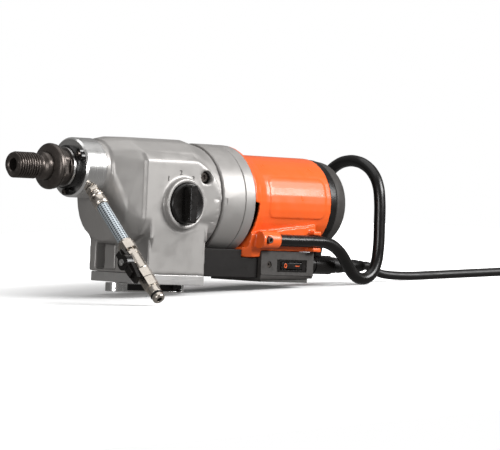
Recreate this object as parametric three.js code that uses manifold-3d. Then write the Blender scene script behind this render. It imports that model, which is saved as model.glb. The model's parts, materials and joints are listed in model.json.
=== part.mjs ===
// Core drill motor for a drill stand, lying on the floor on its mounting foot and its rear handle.
// Millimetres, +Z up. The machine is built level in its own frame: X = 0 at the spindle tip and
// growing towards the rear cap, Y = 0 on the middle plane with the speed knob on the -Y side,
// Z = 0 a little above the underside of the mounting plate. The whole machine is then pitched so
// that the foot and the two low bends of the handle stand on the floor.
import * as THREE from "three";
import { ConvexGeometry } from "three/addons/geometries/ConvexGeometry.js";
import { mergeVertices } from "three/addons/utils/BufferGeometryUtils.js";
import Module from "manifold-3d";

const wasm = await Module();
wasm.setup();

// ---- driving dimensions ----
const GAP = 0.3; // left between pieces that touch
const PITCH_DEG = 3.93; // nose-up lean of the machine as it lies on the floor
const SPINDLE_Z = 135;
const MOTOR_Z = 103;
const LAY_Y = 32.5; // layshaft axis
const LAY_Z = 108.5;
const THREAD_R = 15.875; // 1 1/4 inch male spindle thread
const THREAD_ROOT_R = 13.9;
const THREAD_PITCH = 3.63; // 7 turns to the inch
const THREAD_TURNS = 9;
const WATER_BORE_R = 7.5;
const FLANGE_R = 28;
const BODY_R = 21.5;
const FLANGE_X = 50.5; // front of the flange ring
const FLATS_X = [64.5, 73.5]; // spanner flats behind the flange ring
const FLATS_HALF = 18.5;
const LUG_R = 30; // the retainer's three screws, from the spindle axis
const LUG_ANGLES_DEG = [33, -87, 153];
const COLLAR_R = 36.5;
const COLLAR_X = [87, 118];
const COLLAR_BORE_R = 22.4;
const HOUSING_TOP = 175;
const HOUSING_HALF_Y = 57;
const HOUSING_BOTTOM = 44; // underside of the gear case where the block joins it
const HOUSING_WALL = 7;
const KNOB_BOSS_R = 31;
const SCREW_POCKET = { x: 254, z: 130, r: 8 };
const BLOCK_X = [170, 261];
const POCKET_DEPTH = 30; // of the arched pocket in the block's front
const PLATE_X = [173, 261.4];
const PLATE_BOTTOM = -3;
const PLATE_TOP = 9;
const FOOT_BOTTOM = -14.3;
const SEAM_1 = 278;
const SEAM_2 = 314;
const SEAM_3 = 330;
const MOTOR_FLANGE_R = 69;
const MOTOR_SEAT_R = 59.2; // bore that centres the bearing plate and the motor
const MOTOR_R = 58;
const MOTOR_BORE_R = 54; // inside of the motor shell
const MOTOR_END = 467;
const CAP_BAND_END = 478;
const CAP_END = 498;
const BOX_X = [357.5, 445];
const BOX_Z = [6, 42];
const LEDGE_Z = 42.4; // underside of the motor housing above the box
const BOX_HALF_Y = 52;
const KNOB = { x: 219, y: -65.5, z: 96.6, r: 25 };
const HANDLE_R = 7.5;
const HANDLE_BOLT_X = 353.5;
const HANDLE_Y = 60;
const HANDLE_START_X = 362;
const HANDLE_Z = 56;
const HANDLE_LOW_Z = 11; // lowest point of the tube's middle line
const HANDLE_REAR_X = 550.5;
const HANDLE_SIDE_TOP_Z = 112;
const HANDLE_TOP_Z = 161;
const CORD_R = 5.5;
const GLAND = { y: -34, z: 26.5, r: 12, x: [445.3, 489] };
const BOOT_END = 545;
const HOSE_ANGLE_DEG = 43; // how far the water hose points below the horizontal
const HOSE_X = 102;
const HOSE_END = 128; // end of the braided hose, measured from the spindle axis
const VALVE_H = 35; // valve stem, measured from the end of the hose

// ---- helpers ----

// A closed three.js geometry as a manifold-3d solid, faces turned outwards.
function solid(geometry) {
  const bare = geometry.clone();
  bare.deleteAttribute("normal");
  bare.deleteAttribute("uv");
  const merged = mergeVertices(bare, 1e-4);
  const triVerts = new Uint32Array(merged.index.array);
  const vertProperties = merged.attributes.position.array;
  const made = new wasm.Manifold(new wasm.Mesh({ numProp: 3, vertProperties, triVerts }));
  if (made.volume() > 0) return made;
  for (let i = 0; i < triVerts.length; i += 3) {
    [triVerts[i + 1], triVerts[i + 2]] = [triVerts[i + 2], triVerts[i + 1]];
  }
  return new wasm.Manifold(new wasm.Mesh({ numProp: 3, vertProperties, triVerts }));
}

// A manifold-3d solid back as a flat-shaded three.js geometry.
function geometryOf(made) {
  const mesh = made.getMesh();
  const count = mesh.numProp;
  const positions = new Float32Array(mesh.numVert * 3);
  for (let i = 0; i < mesh.numVert; i++) {
    positions.set(mesh.vertProperties.subarray(i * count, i * count + 3), i * 3);
  }
  const indexed = new THREE.BufferGeometry();
  indexed.setAttribute("position", new THREE.BufferAttribute(positions, 3));
  indexed.setIndex(new THREE.BufferAttribute(mesh.triVerts, 1));
  const flat = indexed.toNonIndexed();
  flat.computeVertexNormals();
  return flat;
}

const join = (...solids) => solids.reduce((sum, s) => sum.add(s));
const cut = (body, ...tools) => tools.reduce((rest, s) => rest.subtract(s), body);

// A box between two corners.
function box(x0, x1, y0, y1, z0, z1) {
  const made = new THREE.BoxGeometry(x1 - x0, y1 - y0, z1 - z0);
  made.translate((x0 + x1) / 2, (y0 + y1) / 2, (z0 + z1) / 2);
  return solid(made);
}

// A solid of revolution about a line along X through (y, z); profile points are [x, radius].
function turned(profile, z = 0, y = 0, sides = 32) {
  const points = profile.map(([x, r]) => new THREE.Vector2(r, x));
  const first = profile[0];
  const last = profile[profile.length - 1];
  if (first[1] !== 0 || last[1] !== 0) points.push(points[0].clone());
  const made = new THREE.LatheGeometry(points, sides);
  made.rotateZ(-Math.PI / 2);
  made.translate(0, y, z);
  return solid(made);
}

// A plain round bar along X.
function barX(x0, x1, r, z = 0, y = 0, sides = 32) {
  const made = new THREE.CylinderGeometry(r, r, x1 - x0, sides);
  made.rotateZ(-Math.PI / 2);
  made.translate((x0 + x1) / 2, y, z);
  return solid(made);
}

// A plain round bar along Y.
function barY(x, z, y0, y1, r, sides = 32) {
  const made = new THREE.CylinderGeometry(r, r, y1 - y0, sides);
  made.translate(x, (y0 + y1) / 2, z);
  return solid(made);
}

// A plain round bar along Z.
function barZ(x, y, z0, z1, r, sides = 32) {
  const made = new THREE.CylinderGeometry(r, r, z1 - z0, sides);
  made.rotateX(Math.PI / 2);
  made.translate(x, y, (z0 + z1) / 2);
  return solid(made);
}

// A ring along X with a plain bore.
const ringX = (x0, x1, rIn, rOut, z, y = 0, sides = 20) =>
  turned([[x0, rIn], [x0, rOut], [x1, rOut], [x1, rIn]], z, y, sides);

// A flat outline in (Y, Z), drawn out along X.
function slabX(outline, x0, x1) {
  const shape = new THREE.Shape(outline.map(([y, z]) => new THREE.Vector2(y, z)));
  const made = new THREE.ExtrudeGeometry(shape, { depth: x1 - x0, bevelEnabled: false });
  made.applyMatrix4(new THREE.Matrix4().makeBasis(
    new THREE.Vector3(0, 1, 0),
    new THREE.Vector3(0, 0, 1),
    new THREE.Vector3(1, 0, 0),
  ));
  made.translate(x0, 0, 0);
  return solid(made);
}

// Points of a circle of radius r in the plane X = x.
function ringPoints(x, r, z, count = 28) {
  return Array.from({ length: count }, (_, i) => {
    const a = (i / count) * 2 * Math.PI;
    return new THREE.Vector3(x, r * Math.cos(a), z + r * Math.sin(a));
  });
}

// The tight skin around a set of points.
const skin = (...sets) => solid(new ConvexGeometry(sets.flat()));

// A round tube along a curve.
function pipe(points, r, sides, steps, tension = 0.5) {
  const path = new THREE.CatmullRomCurve3(
    points.map((p) => new THREE.Vector3(...p)), false, "catmullrom", tension,
  );
  const circle = new THREE.Shape();
  circle.absarc(0, 0, r, 0, 2 * Math.PI, false);
  return new THREE.ExtrudeGeometry(circle, {
    steps, curveSegments: sides, extrudePath: path, bevelEnabled: false,
  });
}

// A spur gear along X with straight-flanked teeth, thinned a little for backlash.
function gear(x0, x1, teeth, module, z, y, bore, turn) {
  const pitchR = (teeth * module) / 2;
  const outline = [];
  const step = (2 * Math.PI) / teeth;
  for (let i = 0; i < teeth; i++) {
    const a = i * step + turn;
    const corners = [
      [pitchR - 1.2 * module, -0.34],
      [pitchR + 0.9 * module, -0.12],
      [pitchR + 0.9 * module, 0.12],
      [pitchR - 1.2 * module, 0.34],
    ];
    for (const [r, share] of corners) {
      const b = a + share * step;
      outline.push([y + r * Math.cos(b), z + r * Math.sin(b)]);
    }
  }
  const blank = slabX(outline, x0, x1);
  return bore > 0 ? cut(blank, barX(x0 - 1, x1 + 1, bore, z, y, 24)) : blank;
}

const paints = {
  cast: { color: 0xb4b1ad, roughness: 0.45, metalness: 0.6 },
  castLight: { color: 0xd2d0cc, roughness: 0.4, metalness: 0.6 },
  polished: { color: 0xd8d8d6, roughness: 0.2, metalness: 1 },
  steelDark: { color: 0x4c443c, roughness: 0.4, metalness: 0.9 },
  steel: { color: 0x9a9a98, roughness: 0.35, metalness: 1 },
  gearSteel: { color: 0x7c7a78, roughness: 0.35, metalness: 1 },
  nickel: { color: 0xd9ccbb, roughness: 0.2, metalness: 1 },
  copper: { color: 0xb06a3c, roughness: 0.4, metalness: 1 },
  orange: { color: 0xf76b28, roughness: 0.45, metalness: 0 },
  greyPlastic: { color: 0x5a5653, roughness: 0.5, metalness: 0 },
  darkPlastic: { color: 0x3e3936, roughness: 0.55, metalness: 0 },
  black: { color: 0x1c1a19, roughness: 0.45, metalness: 0 },
  rubber: { color: 0x1b1a1a, roughness: 0.7, metalness: 0 },
  braid: { color: 0xb9c6ce, roughness: 0.5, metalness: 0.5 },
  board: { color: 0x2f6b46, roughness: 0.6, metalness: 0 },
};

function piece(parent, name, made, paint) {
  const geometry = made instanceof THREE.BufferGeometry ? made : geometryOf(made);
  const mesh = new THREE.Mesh(geometry, new THREE.MeshStandardMaterial(paints[paint]));
  mesh.name = name;
  parent.add(mesh);
  return mesh;
}

const machine = new THREE.Group();
machine.name = "machine";

// ---- gear housing ----
// Section of the casting across X: flat sides, sloping shoulders and a flat top.
function housingSection(x, half, bottom, shrink = 0) {
  const s = shrink;
  const corners = [
    [20, HOUSING_TOP - s],
    [33 - s * 0.6, HOUSING_TOP - 4 - s],
    [half - 8 - s, HOUSING_TOP - 15 - s],
    [half - s, HOUSING_TOP - 27 - s],
    [half - s, bottom + 32],
    [half - 9 - s, bottom + 12 + s],
    [half - 30 - s, bottom + s],
  ];
  return corners.flatMap(([y, z]) => [new THREE.Vector3(x, y, z), new THREE.Vector3(x, -y, z)]);
}

const LUG_ANGLES = LUG_ANGLES_DEG.map((deg) => THREE.MathUtils.degToRad(deg));
const lugAt = (angle, r) => [-r * Math.cos(angle), SPINDLE_Z + r * Math.sin(angle)];

function makeGearHousing() {
  const front = skin(
    ringPoints(127, 37, SPINDLE_Z),
    ringPoints(141.5, 49.5, 97),
    housingSection(154, HOUSING_HALF_Y - 3, HOUSING_BOTTOM + 2),
    housingSection(160, HOUSING_HALF_Y, HOUSING_BOTTOM),
  );
  const middle = skin(
    housingSection(159.9, HOUSING_HALF_Y, HOUSING_BOTTOM),
    housingSection(243, HOUSING_HALF_Y, HOUSING_BOTTOM),
  );
  const rear = skin(
    housingSection(242.9, HOUSING_HALF_Y, HOUSING_BOTTOM),
    ringPoints(262, 62, MOTOR_Z, 40).filter((p) => p.z < HOUSING_TOP - 2),
    ringPoints(SEAM_1 - GAP, 66, MOTOR_Z, 40).filter((p) => p.z < HOUSING_TOP - 2),
  ).intersect(box(200, 300, -80, 80, 0, HOUSING_TOP));
  const neck = barX(COLLAR_X[1] + GAP, 128, 34, SPINDLE_Z);
  const block = cut(
    box(...BLOCK_X, -HOUSING_HALF_Y, HOUSING_HALF_Y, PLATE_TOP + GAP, 80),
    barX(245, 265, 62, MOTOR_Z + 6),
  );
  const boss = barY(KNOB.x, KNOB.z, KNOB.y + 1, -50, KNOB_BOSS_R, 48);
  const outside = join(front, middle, rear, neck, block, boss);
  const cavity = join(
    skin(
      ringPoints(141, 30, SPINDLE_Z - 3),
      ringPoints(153, 38, 103),
      housingSection(172, HOUSING_HALF_Y, HOUSING_BOTTOM + 2, HOUSING_WALL),
    ),
    skin(
      housingSection(171.9, HOUSING_HALF_Y, HOUSING_BOTTOM + 2, HOUSING_WALL),
      housingSection(246, HOUSING_HALF_Y, HOUSING_BOTTOM + 2, HOUSING_WALL),
    ),
    skin(
      housingSection(245.9, HOUSING_HALF_Y, HOUSING_BOTTOM + 2, HOUSING_WALL),
      ringPoints(264, 56, MOTOR_Z, 32),
      ringPoints(SEAM_1 + 1, 60, MOTOR_Z, 32),
    ),
  );
  const pocketOutline = new THREE.Shape();
  pocketOutline.moveTo(6, PLATE_TOP + 3);
  pocketOutline.lineTo(6, 40);
  pocketOutline.absarc(16, 40, 10, Math.PI, Math.PI / 2, true);
  pocketOutline.lineTo(34, 50);
  pocketOutline.absarc(34, 39, 11, Math.PI / 2, 0, true);
  pocketOutline.lineTo(45, PLATE_TOP + 3);
  const pocket = slabX(
    pocketOutline.getPoints(5).map((p) => [p.x, p.y]), BLOCK_X[0] - 1, BLOCK_X[0] + POCKET_DEPTH,
  );
  const rib = box(
    BLOCK_X[0] + 4, BLOCK_X[0] + POCKET_DEPTH + 1, 12, 33, PLATE_TOP + 2, HOUSING_BOTTOM,
  );
  return cut(
    outside,
    cavity,
    cut(pocket, rib),
    barX(110, 145, 26 + GAP, SPINDLE_Z), // front bearing seat
    barY(KNOB.x, KNOB.z, -70, -60, 26, 40), // knob recess
    barY(KNOB.x, KNOB.z, -70, -45, 6.3, 24), // selector shaft hole
    barY(SCREW_POCKET.x, SCREW_POCKET.z, -75, -52, SCREW_POCKET.r, 20),
    barX(262, 290, MOTOR_SEAT_R, MOTOR_Z),
  );
}
piece(machine, "gear_housing", makeGearHousing(), "cast");

// Plate that carries the rear bearings of the gear shafts, inside the rear of the housing.
piece(machine, "bearing_plate", cut(
  barX(265, 276, MOTOR_SEAT_R - GAP, MOTOR_Z),
  barX(260, 280, 15 + GAP, SPINDLE_Z),
  barX(260, 280, 11 + GAP, LAY_Z, LAY_Y, 36),
), "cast");

// ---- mounting plate and foot under the block ----
piece(machine, "mounting_plate", box(
  ...PLATE_X, -HOUSING_HALF_Y + 1, HOUSING_HALF_Y - 1, PLATE_BOTTOM, PLATE_TOP,
), "castLight");
const FOOT_X = [160, 266];
const footOutline = new THREE.Shape();
footOutline.absarc(FOOT_X[0] + 8, 0, 13, Math.PI * 0.5, Math.PI * 1.5, false);
footOutline.lineTo(FOOT_X[1], -13);
footOutline.lineTo(FOOT_X[1], 13);
const footMesh = new THREE.ExtrudeGeometry(footOutline, {
  depth: PLATE_BOTTOM - GAP - FOOT_BOTTOM, bevelEnabled: false, curveSegments: 8,
});
footMesh.translate(0, 0, FOOT_BOTTOM);
piece(machine, "mounting_foot", cut(
  solid(footMesh),
  box(176, 262, -14, -10, FOOT_BOTTOM + 2.2, PLATE_BOTTOM - 1.5),
), "polished");
piece(machine, "foot_grip_strip",
  box(177, 261, -12.4, -10.3, FOOT_BOTTOM + 2.6, PLATE_BOTTOM - 1.9), "rubber");
piece(machine, "foot_latch", join(
  box(246, 252.5, -17.5, -13.3, FOOT_BOTTOM + 5, PLATE_BOTTOM - GAP),
  box(250, 258, -15.4, -13.3, FOOT_BOTTOM + 6.5, FOOT_BOTTOM + 8.6),
  box(256, 258.2, -15.4, -13.3, FOOT_BOTTOM + 1, FOOT_BOTTOM + 8.6),
), "black");

// ---- spindle, its flange ring and the water collar ----
const spindle = new THREE.Group();
spindle.position.z = SPINDLE_Z;
machine.add(spindle);

function spindleProfile() {
  const points = [
    [100, 0], [96, WATER_BORE_R], [0, WATER_BORE_R], [0, THREAD_ROOT_R], [0.6, THREAD_ROOT_R],
  ];
  for (let i = 0; i < THREAD_TURNS; i++) {
    const x = 0.6 + i * THREAD_PITCH;
    points.push([x + 1.4, THREAD_R], [x + 2.2, THREAD_R], [x + THREAD_PITCH, THREAD_ROOT_R]);
  }
  points.push([37, 13.4], [40, 13.4], [41, 17], [63.5, 17], [63.5, BODY_R], [118, BODY_R]);
  points.push([118.2, 17], [139, 17], [139, 19], [146, 19], [146, 14.5], [262.5, 14.5]);
  points.push([262.5, 7.5], [276, 7.5], [276.5, 0]);
  return points;
}
piece(spindle, "spindle", cut(
  turned(spindleProfile(), 0, 0, 24),
  box(...FLATS_X, -30, -FLATS_HALF, -30, 30),
  box(...FLATS_X, FLATS_HALF, 30, -30, 30),
  barZ(91, 0, -30, 30, 3, 12),
), "steelDark");
piece(spindle, "spindle_flange_ring", turned([
  [FLANGE_X, 17.3], [FLANGE_X, 20], [FLANGE_X + 2.5, 26.5], [FLANGE_X + 4, FLANGE_R],
  [FLANGE_X + 7.7, FLANGE_R], [FLANGE_X + 8.1, FLANGE_R - 1.6], [FLANGE_X + 9.1, FLANGE_R - 0.6],
  [FLANGE_X + 11.7, FLANGE_R - 1.2], [FLANGE_X + 12.7, 24], [FLANGE_X + 12.7, 17.3],
], 0, 0, 32), "steelDark");
piece(spindle, "seal_ring", ringX(76, 79.4, BODY_R + 0.3, 24.4, 0), "polished");

const lugHoles = LUG_ANGLES.map((a) => {
  const [y, z] = lugAt(a, LUG_R);
  return barX(70, 104, 1.8, z - SPINDLE_Z, y, 8);
});
const retainerRing = turned([
  [79.7, COLLAR_BORE_R], [79.7, 25.6], [81, 26.8], [86.7, 26.8], [86.7, COLLAR_BORE_R],
], 0, 0, 32);
const lugs = LUG_ANGLES.map((a) => {
  const [y, z] = lugAt(a, LUG_R);
  const [yi, zi] = lugAt(a, 24.8);
  const turn = new THREE.Vector2(y - yi, z - zi).normalize();
  const sideways = [-turn.y * 3.4, turn.x * 3.4];
  const lobe = (s) => barX(81.5, 86.7, 4, z - SPINDLE_Z + s * sideways[1], y + s * sideways[0], 12);
  return join(lobe(-1), lobe(1));
});
piece(spindle, "seal_retainer", cut(
  join(retainerRing, ...lugs), barX(75, 90, COLLAR_BORE_R, 0), ...lugHoles,
), "black");
LUG_ANGLES.forEach((a, i) => {
  const [y, z] = lugAt(a, LUG_R);
  piece(spindle, "retainer_screw_" + (i + 1), cut(
    join(barX(78.2, 81.2, 3.1, z - SPINDLE_Z, y, 12), barX(81, 100, 1.4, z - SPINDLE_Z, y, 8)),
    barX(77, 79.8, 1.5, z - SPINDLE_Z, y, 6),
  ), "black");
});
const hoseDown = THREE.MathUtils.degToRad(HOSE_ANGLE_DEG);
const hoseHole = new THREE.CylinderGeometry(5.3, 5.3, 30, 16);
hoseHole.rotateX(hoseDown);
hoseHole.translate(HOSE_X, -35 * Math.cos(hoseDown), -35 * Math.sin(hoseDown));
piece(spindle, "water_collar", cut(
  turned([
    [COLLAR_X[0], COLLAR_BORE_R], [COLLAR_X[0], COLLAR_R - 2.2], [COLLAR_X[0] + 2.2, COLLAR_R],
    [COLLAR_X[1] - 1, COLLAR_R], [COLLAR_X[1], COLLAR_R - 1], [COLLAR_X[1], COLLAR_BORE_R],
    [HOSE_X + 5, COLLAR_BORE_R], [HOSE_X + 5, 27], [HOSE_X - 5, 27], [HOSE_X - 5, COLLAR_BORE_R],
  ], 0, 0, 36),
  solid(hoseHole),
  ...lugHoles,
), "polished");
piece(spindle, "spindle_bearing_front", ringX(122, 138, 17.3, 26, 0), "steel");
piece(spindle, "spindle_bearing_rear", ringX(266, 275.5, 7.8, 15, 0, 0, 20), "steel");
const SPINDLE_GEAR_TEETH = 30;
const LAY_PINION_TEETH = 12;
const LAY_GEAR_TEETH = 32;
const ROTOR_TEETH = 12;
const HEAVY_MODULE = 2;
const LIGHT_MODULE = 1.5;
// Angle of the line from the spindle to the layshaft, and from the rotor to the layshaft.
const spindleToLay = Math.atan2(LAY_Z - SPINDLE_Z, LAY_Y);
const rotorToLay = Math.atan2(LAY_Z - MOTOR_Z, LAY_Y);
piece(spindle, "spindle_gear",
  gear(205, 230, SPINDLE_GEAR_TEETH, HEAVY_MODULE, 0, 0, 14.8, spindleToLay), "gearSteel");

// ---- layshaft ----
const lay = new THREE.Group();
lay.position.set(0, LAY_Y, LAY_Z);
machine.add(lay);
const LAY_TURN = spindleToLay + Math.PI + Math.PI / LAY_PINION_TEETH;
piece(lay, "layshaft", join(
  turned([[156, 0], [156, 5.5], [176, 5.5], [176, 8], [262, 8], [262, 5.5], [276, 5.5],
    [276, 7], [302.5, 7], [302.5, 4.5], [310, 4.5], [310, 0]], 0, 0, 18),
  gear(201, 234, LAY_PINION_TEETH, HEAVY_MODULE, 0, 0, 0, LAY_TURN),
), "gearSteel");
const LAY_GEAR_TURN = rotorToLay + Math.PI;
piece(lay, "layshaft_gear",
  gear(284, 299, LAY_GEAR_TEETH, LIGHT_MODULE, 0, 0, 7.3, LAY_GEAR_TURN), "gearSteel");
piece(lay, "layshaft_bearing", ringX(266, 275.5, 5.8, 11, 0, 0, 20), "steel");

// ---- motor flange between the gear housing and the motor ----
const flatTop = box(200, 400, -90, 90, 0, HOUSING_TOP - 2);
piece(machine, "motor_flange", cut(
  join(
    turned([
      [SEAM_1, 60], [SEAM_1, 68], [SEAM_1 + 1.2, MOTOR_FLANGE_R],
      [SEAM_2 - 1.4, MOTOR_FLANGE_R], [SEAM_2 - GAP, MOTOR_FLANGE_R - 1.2],
      [SEAM_2 - GAP, 12], [305, 12], [305, 60],
    ], MOTOR_Z, 0, 36),
    barX(303.2, SEAM_2 - GAP, 20, LAY_Z, LAY_Y, 32),
  ).intersect(flatTop),
  barX(303, 311, 4.8, LAY_Z, LAY_Y, 24),
  barX(300, 320, 12, MOTOR_Z),
  box(279, 284, -76, -68.2, 98, 106),
), "cast");
piece(machine, "flange_end_ring", cut(
  turned([
    [SEAM_2, 12.3], [SEAM_2, MOTOR_FLANGE_R - 1.4], [SEAM_2 + 1, MOTOR_FLANGE_R - 0.2],
    [SEAM_3 - GAP, MOTOR_FLANGE_R - 0.2], [SEAM_3 - GAP, 62], [SEAM_2 + 9, 62], [SEAM_2 + 9, 12.3],
  ], MOTOR_Z, 0, 40).intersect(flatTop),
), "cast");

// ---- motor ----
const rotor = new THREE.Group();
rotor.position.z = MOTOR_Z;
machine.add(rotor);
const ROTOR_TURN = rotorToLay + Math.PI / ROTOR_TEETH;
piece(rotor, "rotor_shaft", join(
  turned([[280, 0], [280, 5], [300, 5], [300, 6], [484, 6], [484, 0]], 0, 0, 18),
  gear(282, 301, ROTOR_TEETH, LIGHT_MODULE, 0, 0, 0, ROTOR_TURN),
), "gearSteel");
piece(rotor, "rotor_bearing_front", ringX(314.5, 322, 6.3, 12, 0, 0, 20), "steel");
piece(rotor, "rotor_bearing_rear", ringX(470, 477.5, 6.3, 12, 0, 0, 20), "steel");
const blades = Array.from({ length: 7 }, (_, i) => {
  const blade = new THREE.BoxGeometry(12, 2, 30);
  blade.translate(342.5, 0, 32);
  blade.rotateX((i / 7) * 2 * Math.PI);
  return solid(blade);
});
piece(rotor, "cooling_fan", join(
  cut(barX(335.5, 338, 49, 0), barX(330, 352, 6.3, 0)),
  cut(barX(335.5, 348, 20, 0), barX(330, 352, 6.3, 0)),
  ...blades,
), "black");
const slots = Array.from({ length: 8 }, (_, i) => {
  const slot = new THREE.BoxGeometry(80, 3.4, 16);
  slot.translate(395, 0, 28);
  slot.rotateX((i / 8) * 2 * Math.PI);
  return solid(slot);
});
piece(rotor, "rotor_core",
  cut(ringX(362, 428, 6.3, 31.5, 0), ...slots), "steel");
piece(rotor, "commutator", ringX(437, 457, 6.3, 17, 0, 0, 24), "copper");

const poleGap = [0, Math.PI / 2].map((a) => {
  const slot = new THREE.BoxGeometry(80, 16, 90);
  slot.rotateX(a);
  slot.translate(395, 0, MOTOR_Z);
  return solid(slot);
});
piece(machine, "stator", cut(
  ringX(360, 430, 32.6, 53.2, MOTOR_Z, 0, 40),
  join(...poleGap).intersect(barX(350, 440, 45, MOTOR_Z)),
), "steel");
[-1, 1].forEach((side) => {
  piece(machine, side < 0 ? "brush_holder_near" : "brush_holder_far",
    box(441, 453, side < 0 ? -50 : 17.6, side < 0 ? -17.6 : 50, MOTOR_Z - 7, MOTOR_Z + 7),
    "nickel");
});

// Orange shell: flared at the front, a shallow raised panel on each side, a ledge below,
// and a clamp boss for each end of the handle.
function makeMotorHousing() {
  const round = turned([
    [SEAM_3, MOTOR_BORE_R], [SEAM_3, 68], [SEAM_3 + 2, 68.6], [SEAM_3 + 9, 65],
    [SEAM_3 + 17, 60.5], [SEAM_3 + 27, MOTOR_R], [MOTOR_END - GAP, MOTOR_R - 0.6],
    [MOTOR_END - GAP, MOTOR_BORE_R],
  ], MOTOR_Z, 0, 40);
  const ledge = cut(skin([
    [SEAM_3, 40, 33.5], [SEAM_3, 55, 62], [345, 50, 33.5], [357, 51, LEDGE_Z],
    [BOX_X[1], 50, LEDGE_Z], [BOX_X[1], 54, 76],
  ].flatMap(([x, y, z]) => [new THREE.Vector3(x, y, z), new THREE.Vector3(x, -y, z)])),
  box(BOX_X[0] - 0.6, 460, -60, 60, 20, LEDGE_Z));
  const panels = [-1, 1].map((side) => {
    const y = side * (MOTOR_R + 3);
    const outline = new THREE.Shape();
    const [x0, x1, z0, z1, r] = [364, 456, 84, 134, 8];
    outline.absarc(x0 + r, z0 + r, r, Math.PI, Math.PI * 1.5, false);
    outline.absarc(x1 - r, z0 + r, r, Math.PI * 1.5, Math.PI * 2, false);
    outline.absarc(x1 - r, z1 - r, r, 0, Math.PI * 0.5, false);
    outline.absarc(x0 + r, z1 - r, r, Math.PI * 0.5, Math.PI, false);
    const block = new THREE.ExtrudeGeometry(outline, {
      depth: 30, bevelEnabled: false, curveSegments: 4,
    });
    block.rotateX(Math.PI / 2);
    block.translate(0, side < 0 ? -35 : y, 0);
    return solid(block).intersect(barX(360, 460, MOTOR_R + 1.1, MOTOR_Z, 0, 40));
  });
  const bosses = [-1, 1].map((side) => {
    const y = side * HANDLE_Y;
    return join(
      barX(345, 374, 11.2, HANDLE_Z, y, 24),
      box(349, 374, Math.min(y, side * 45), Math.max(y, side * 45), HANDLE_Z - 9, HANDLE_Z + 9),
    );
  });
  const clips = [-1, 1].flatMap((side) => [
    [HANDLE_Z + 8, HANDLE_Z + 13], [HANDLE_Z - 13, HANDLE_Z - 8],
  ].map(([z0, z1]) => {
    const [ya, yb] = side < 0 ? [-63, -47] : [47, 63];
    return box(434, 447, ya, yb, z0, z1);
  }));
  const shell = join(round, ledge, ...panels, ...bosses, ...clips);
  const inside = join(
    barX(SEAM_3 - 1, MOTOR_END + 1, MOTOR_BORE_R, MOTOR_Z, 0, 40),
    turned([
      [SEAM_3 - 1, 0], [SEAM_3 - 1, 65.4], [SEAM_3 + 9, 61.8], [SEAM_3 + 17, 57.4],
      [SEAM_3 + 24, MOTOR_BORE_R - 0.5], [SEAM_3 + 24, 0],
    ], MOTOR_Z, 0, 24), // hollow flare
    box(SEAM_3 + 12, BOX_X[1] - 5, -46, 46, 30, 58),
    box(SEAM_3 + 12, BOX_X[1] - 5, -28, 28, 50, 80),
  );
  const sockets = [-1, 1].map((side) =>
    barX(HANDLE_START_X - 0.6, 460, HANDLE_R + GAP, HANDLE_Z, side * HANDLE_Y, 24));
  const boltHoles = [-1, 1].map((side) =>
    barY(HANDLE_BOLT_X, HANDLE_Z, side < 0 ? -75 : 52, side < 0 ? -52 : 75, 4.4, 20));
  // Air inlets: the front edge of the shell stands back from the flange below the middle.
  const inlets = [-1, 1].map((side) => {
    const wedge = new THREE.Shape([
      new THREE.Vector2(SEAM_3 - 1, 46), new THREE.Vector2(SEAM_3 + 6, 46),
      new THREE.Vector2(SEAM_3 + 11, 90), new THREE.Vector2(SEAM_3 + 12, 101),
      new THREE.Vector2(SEAM_3 - 1, 103),
    ]);
    const made = new THREE.ExtrudeGeometry(wedge, { depth: 50, bevelEnabled: false });
    made.rotateX(Math.PI / 2);
    made.translate(0, side < 0 ? -30 : 80, 0);
    return solid(made);
  });
  return cut(shell, inside, ...sockets, ...boltHoles, ...inlets);
}
piece(machine, "motor_housing", makeMotorHousing(), "orange");

piece(machine, "cap_band", turned([
  [MOTOR_END, 50], [MOTOR_END, 55.4], [MOTOR_END + 1, 56.2], [CAP_BAND_END - 1.4, 56.2],
  [CAP_BAND_END - GAP, 55.2], [CAP_BAND_END - GAP, 12.3], [MOTOR_END + 3, 12.3],
  [MOTOR_END + 3, 50],
], MOTOR_Z, 0, 40), "black");
const capSlots = [-3, -2, -1, 0, 1, 2, 3].map((i) => {
  const reach = Math.sqrt(40 * 40 - (i * 10) ** 2);
  return box(CAP_END - 5, CAP_END + 5, -reach, reach, MOTOR_Z + i * 10 - 2, MOTOR_Z + i * 10 + 2);
});
const capNotch = box(CAP_END - 7, CAP_END + 5, -60, 60, MOTOR_Z + 46, MOTOR_Z + 70);
piece(machine, "rear_cap", cut(
  turned([
    [CAP_BAND_END, 51], [CAP_BAND_END, 54.6], [CAP_BAND_END + 1, 55.4], [CAP_END - 6, 53.6],
    [CAP_END - 1.5, 50.5], [CAP_END, 48], [CAP_END, 0], [CAP_END - 4, 0], [CAP_END - 4, 47],
  ], MOTOR_Z, 0, 40),
  ...capSlots,
  capNotch,
), "greyPlastic");

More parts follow.
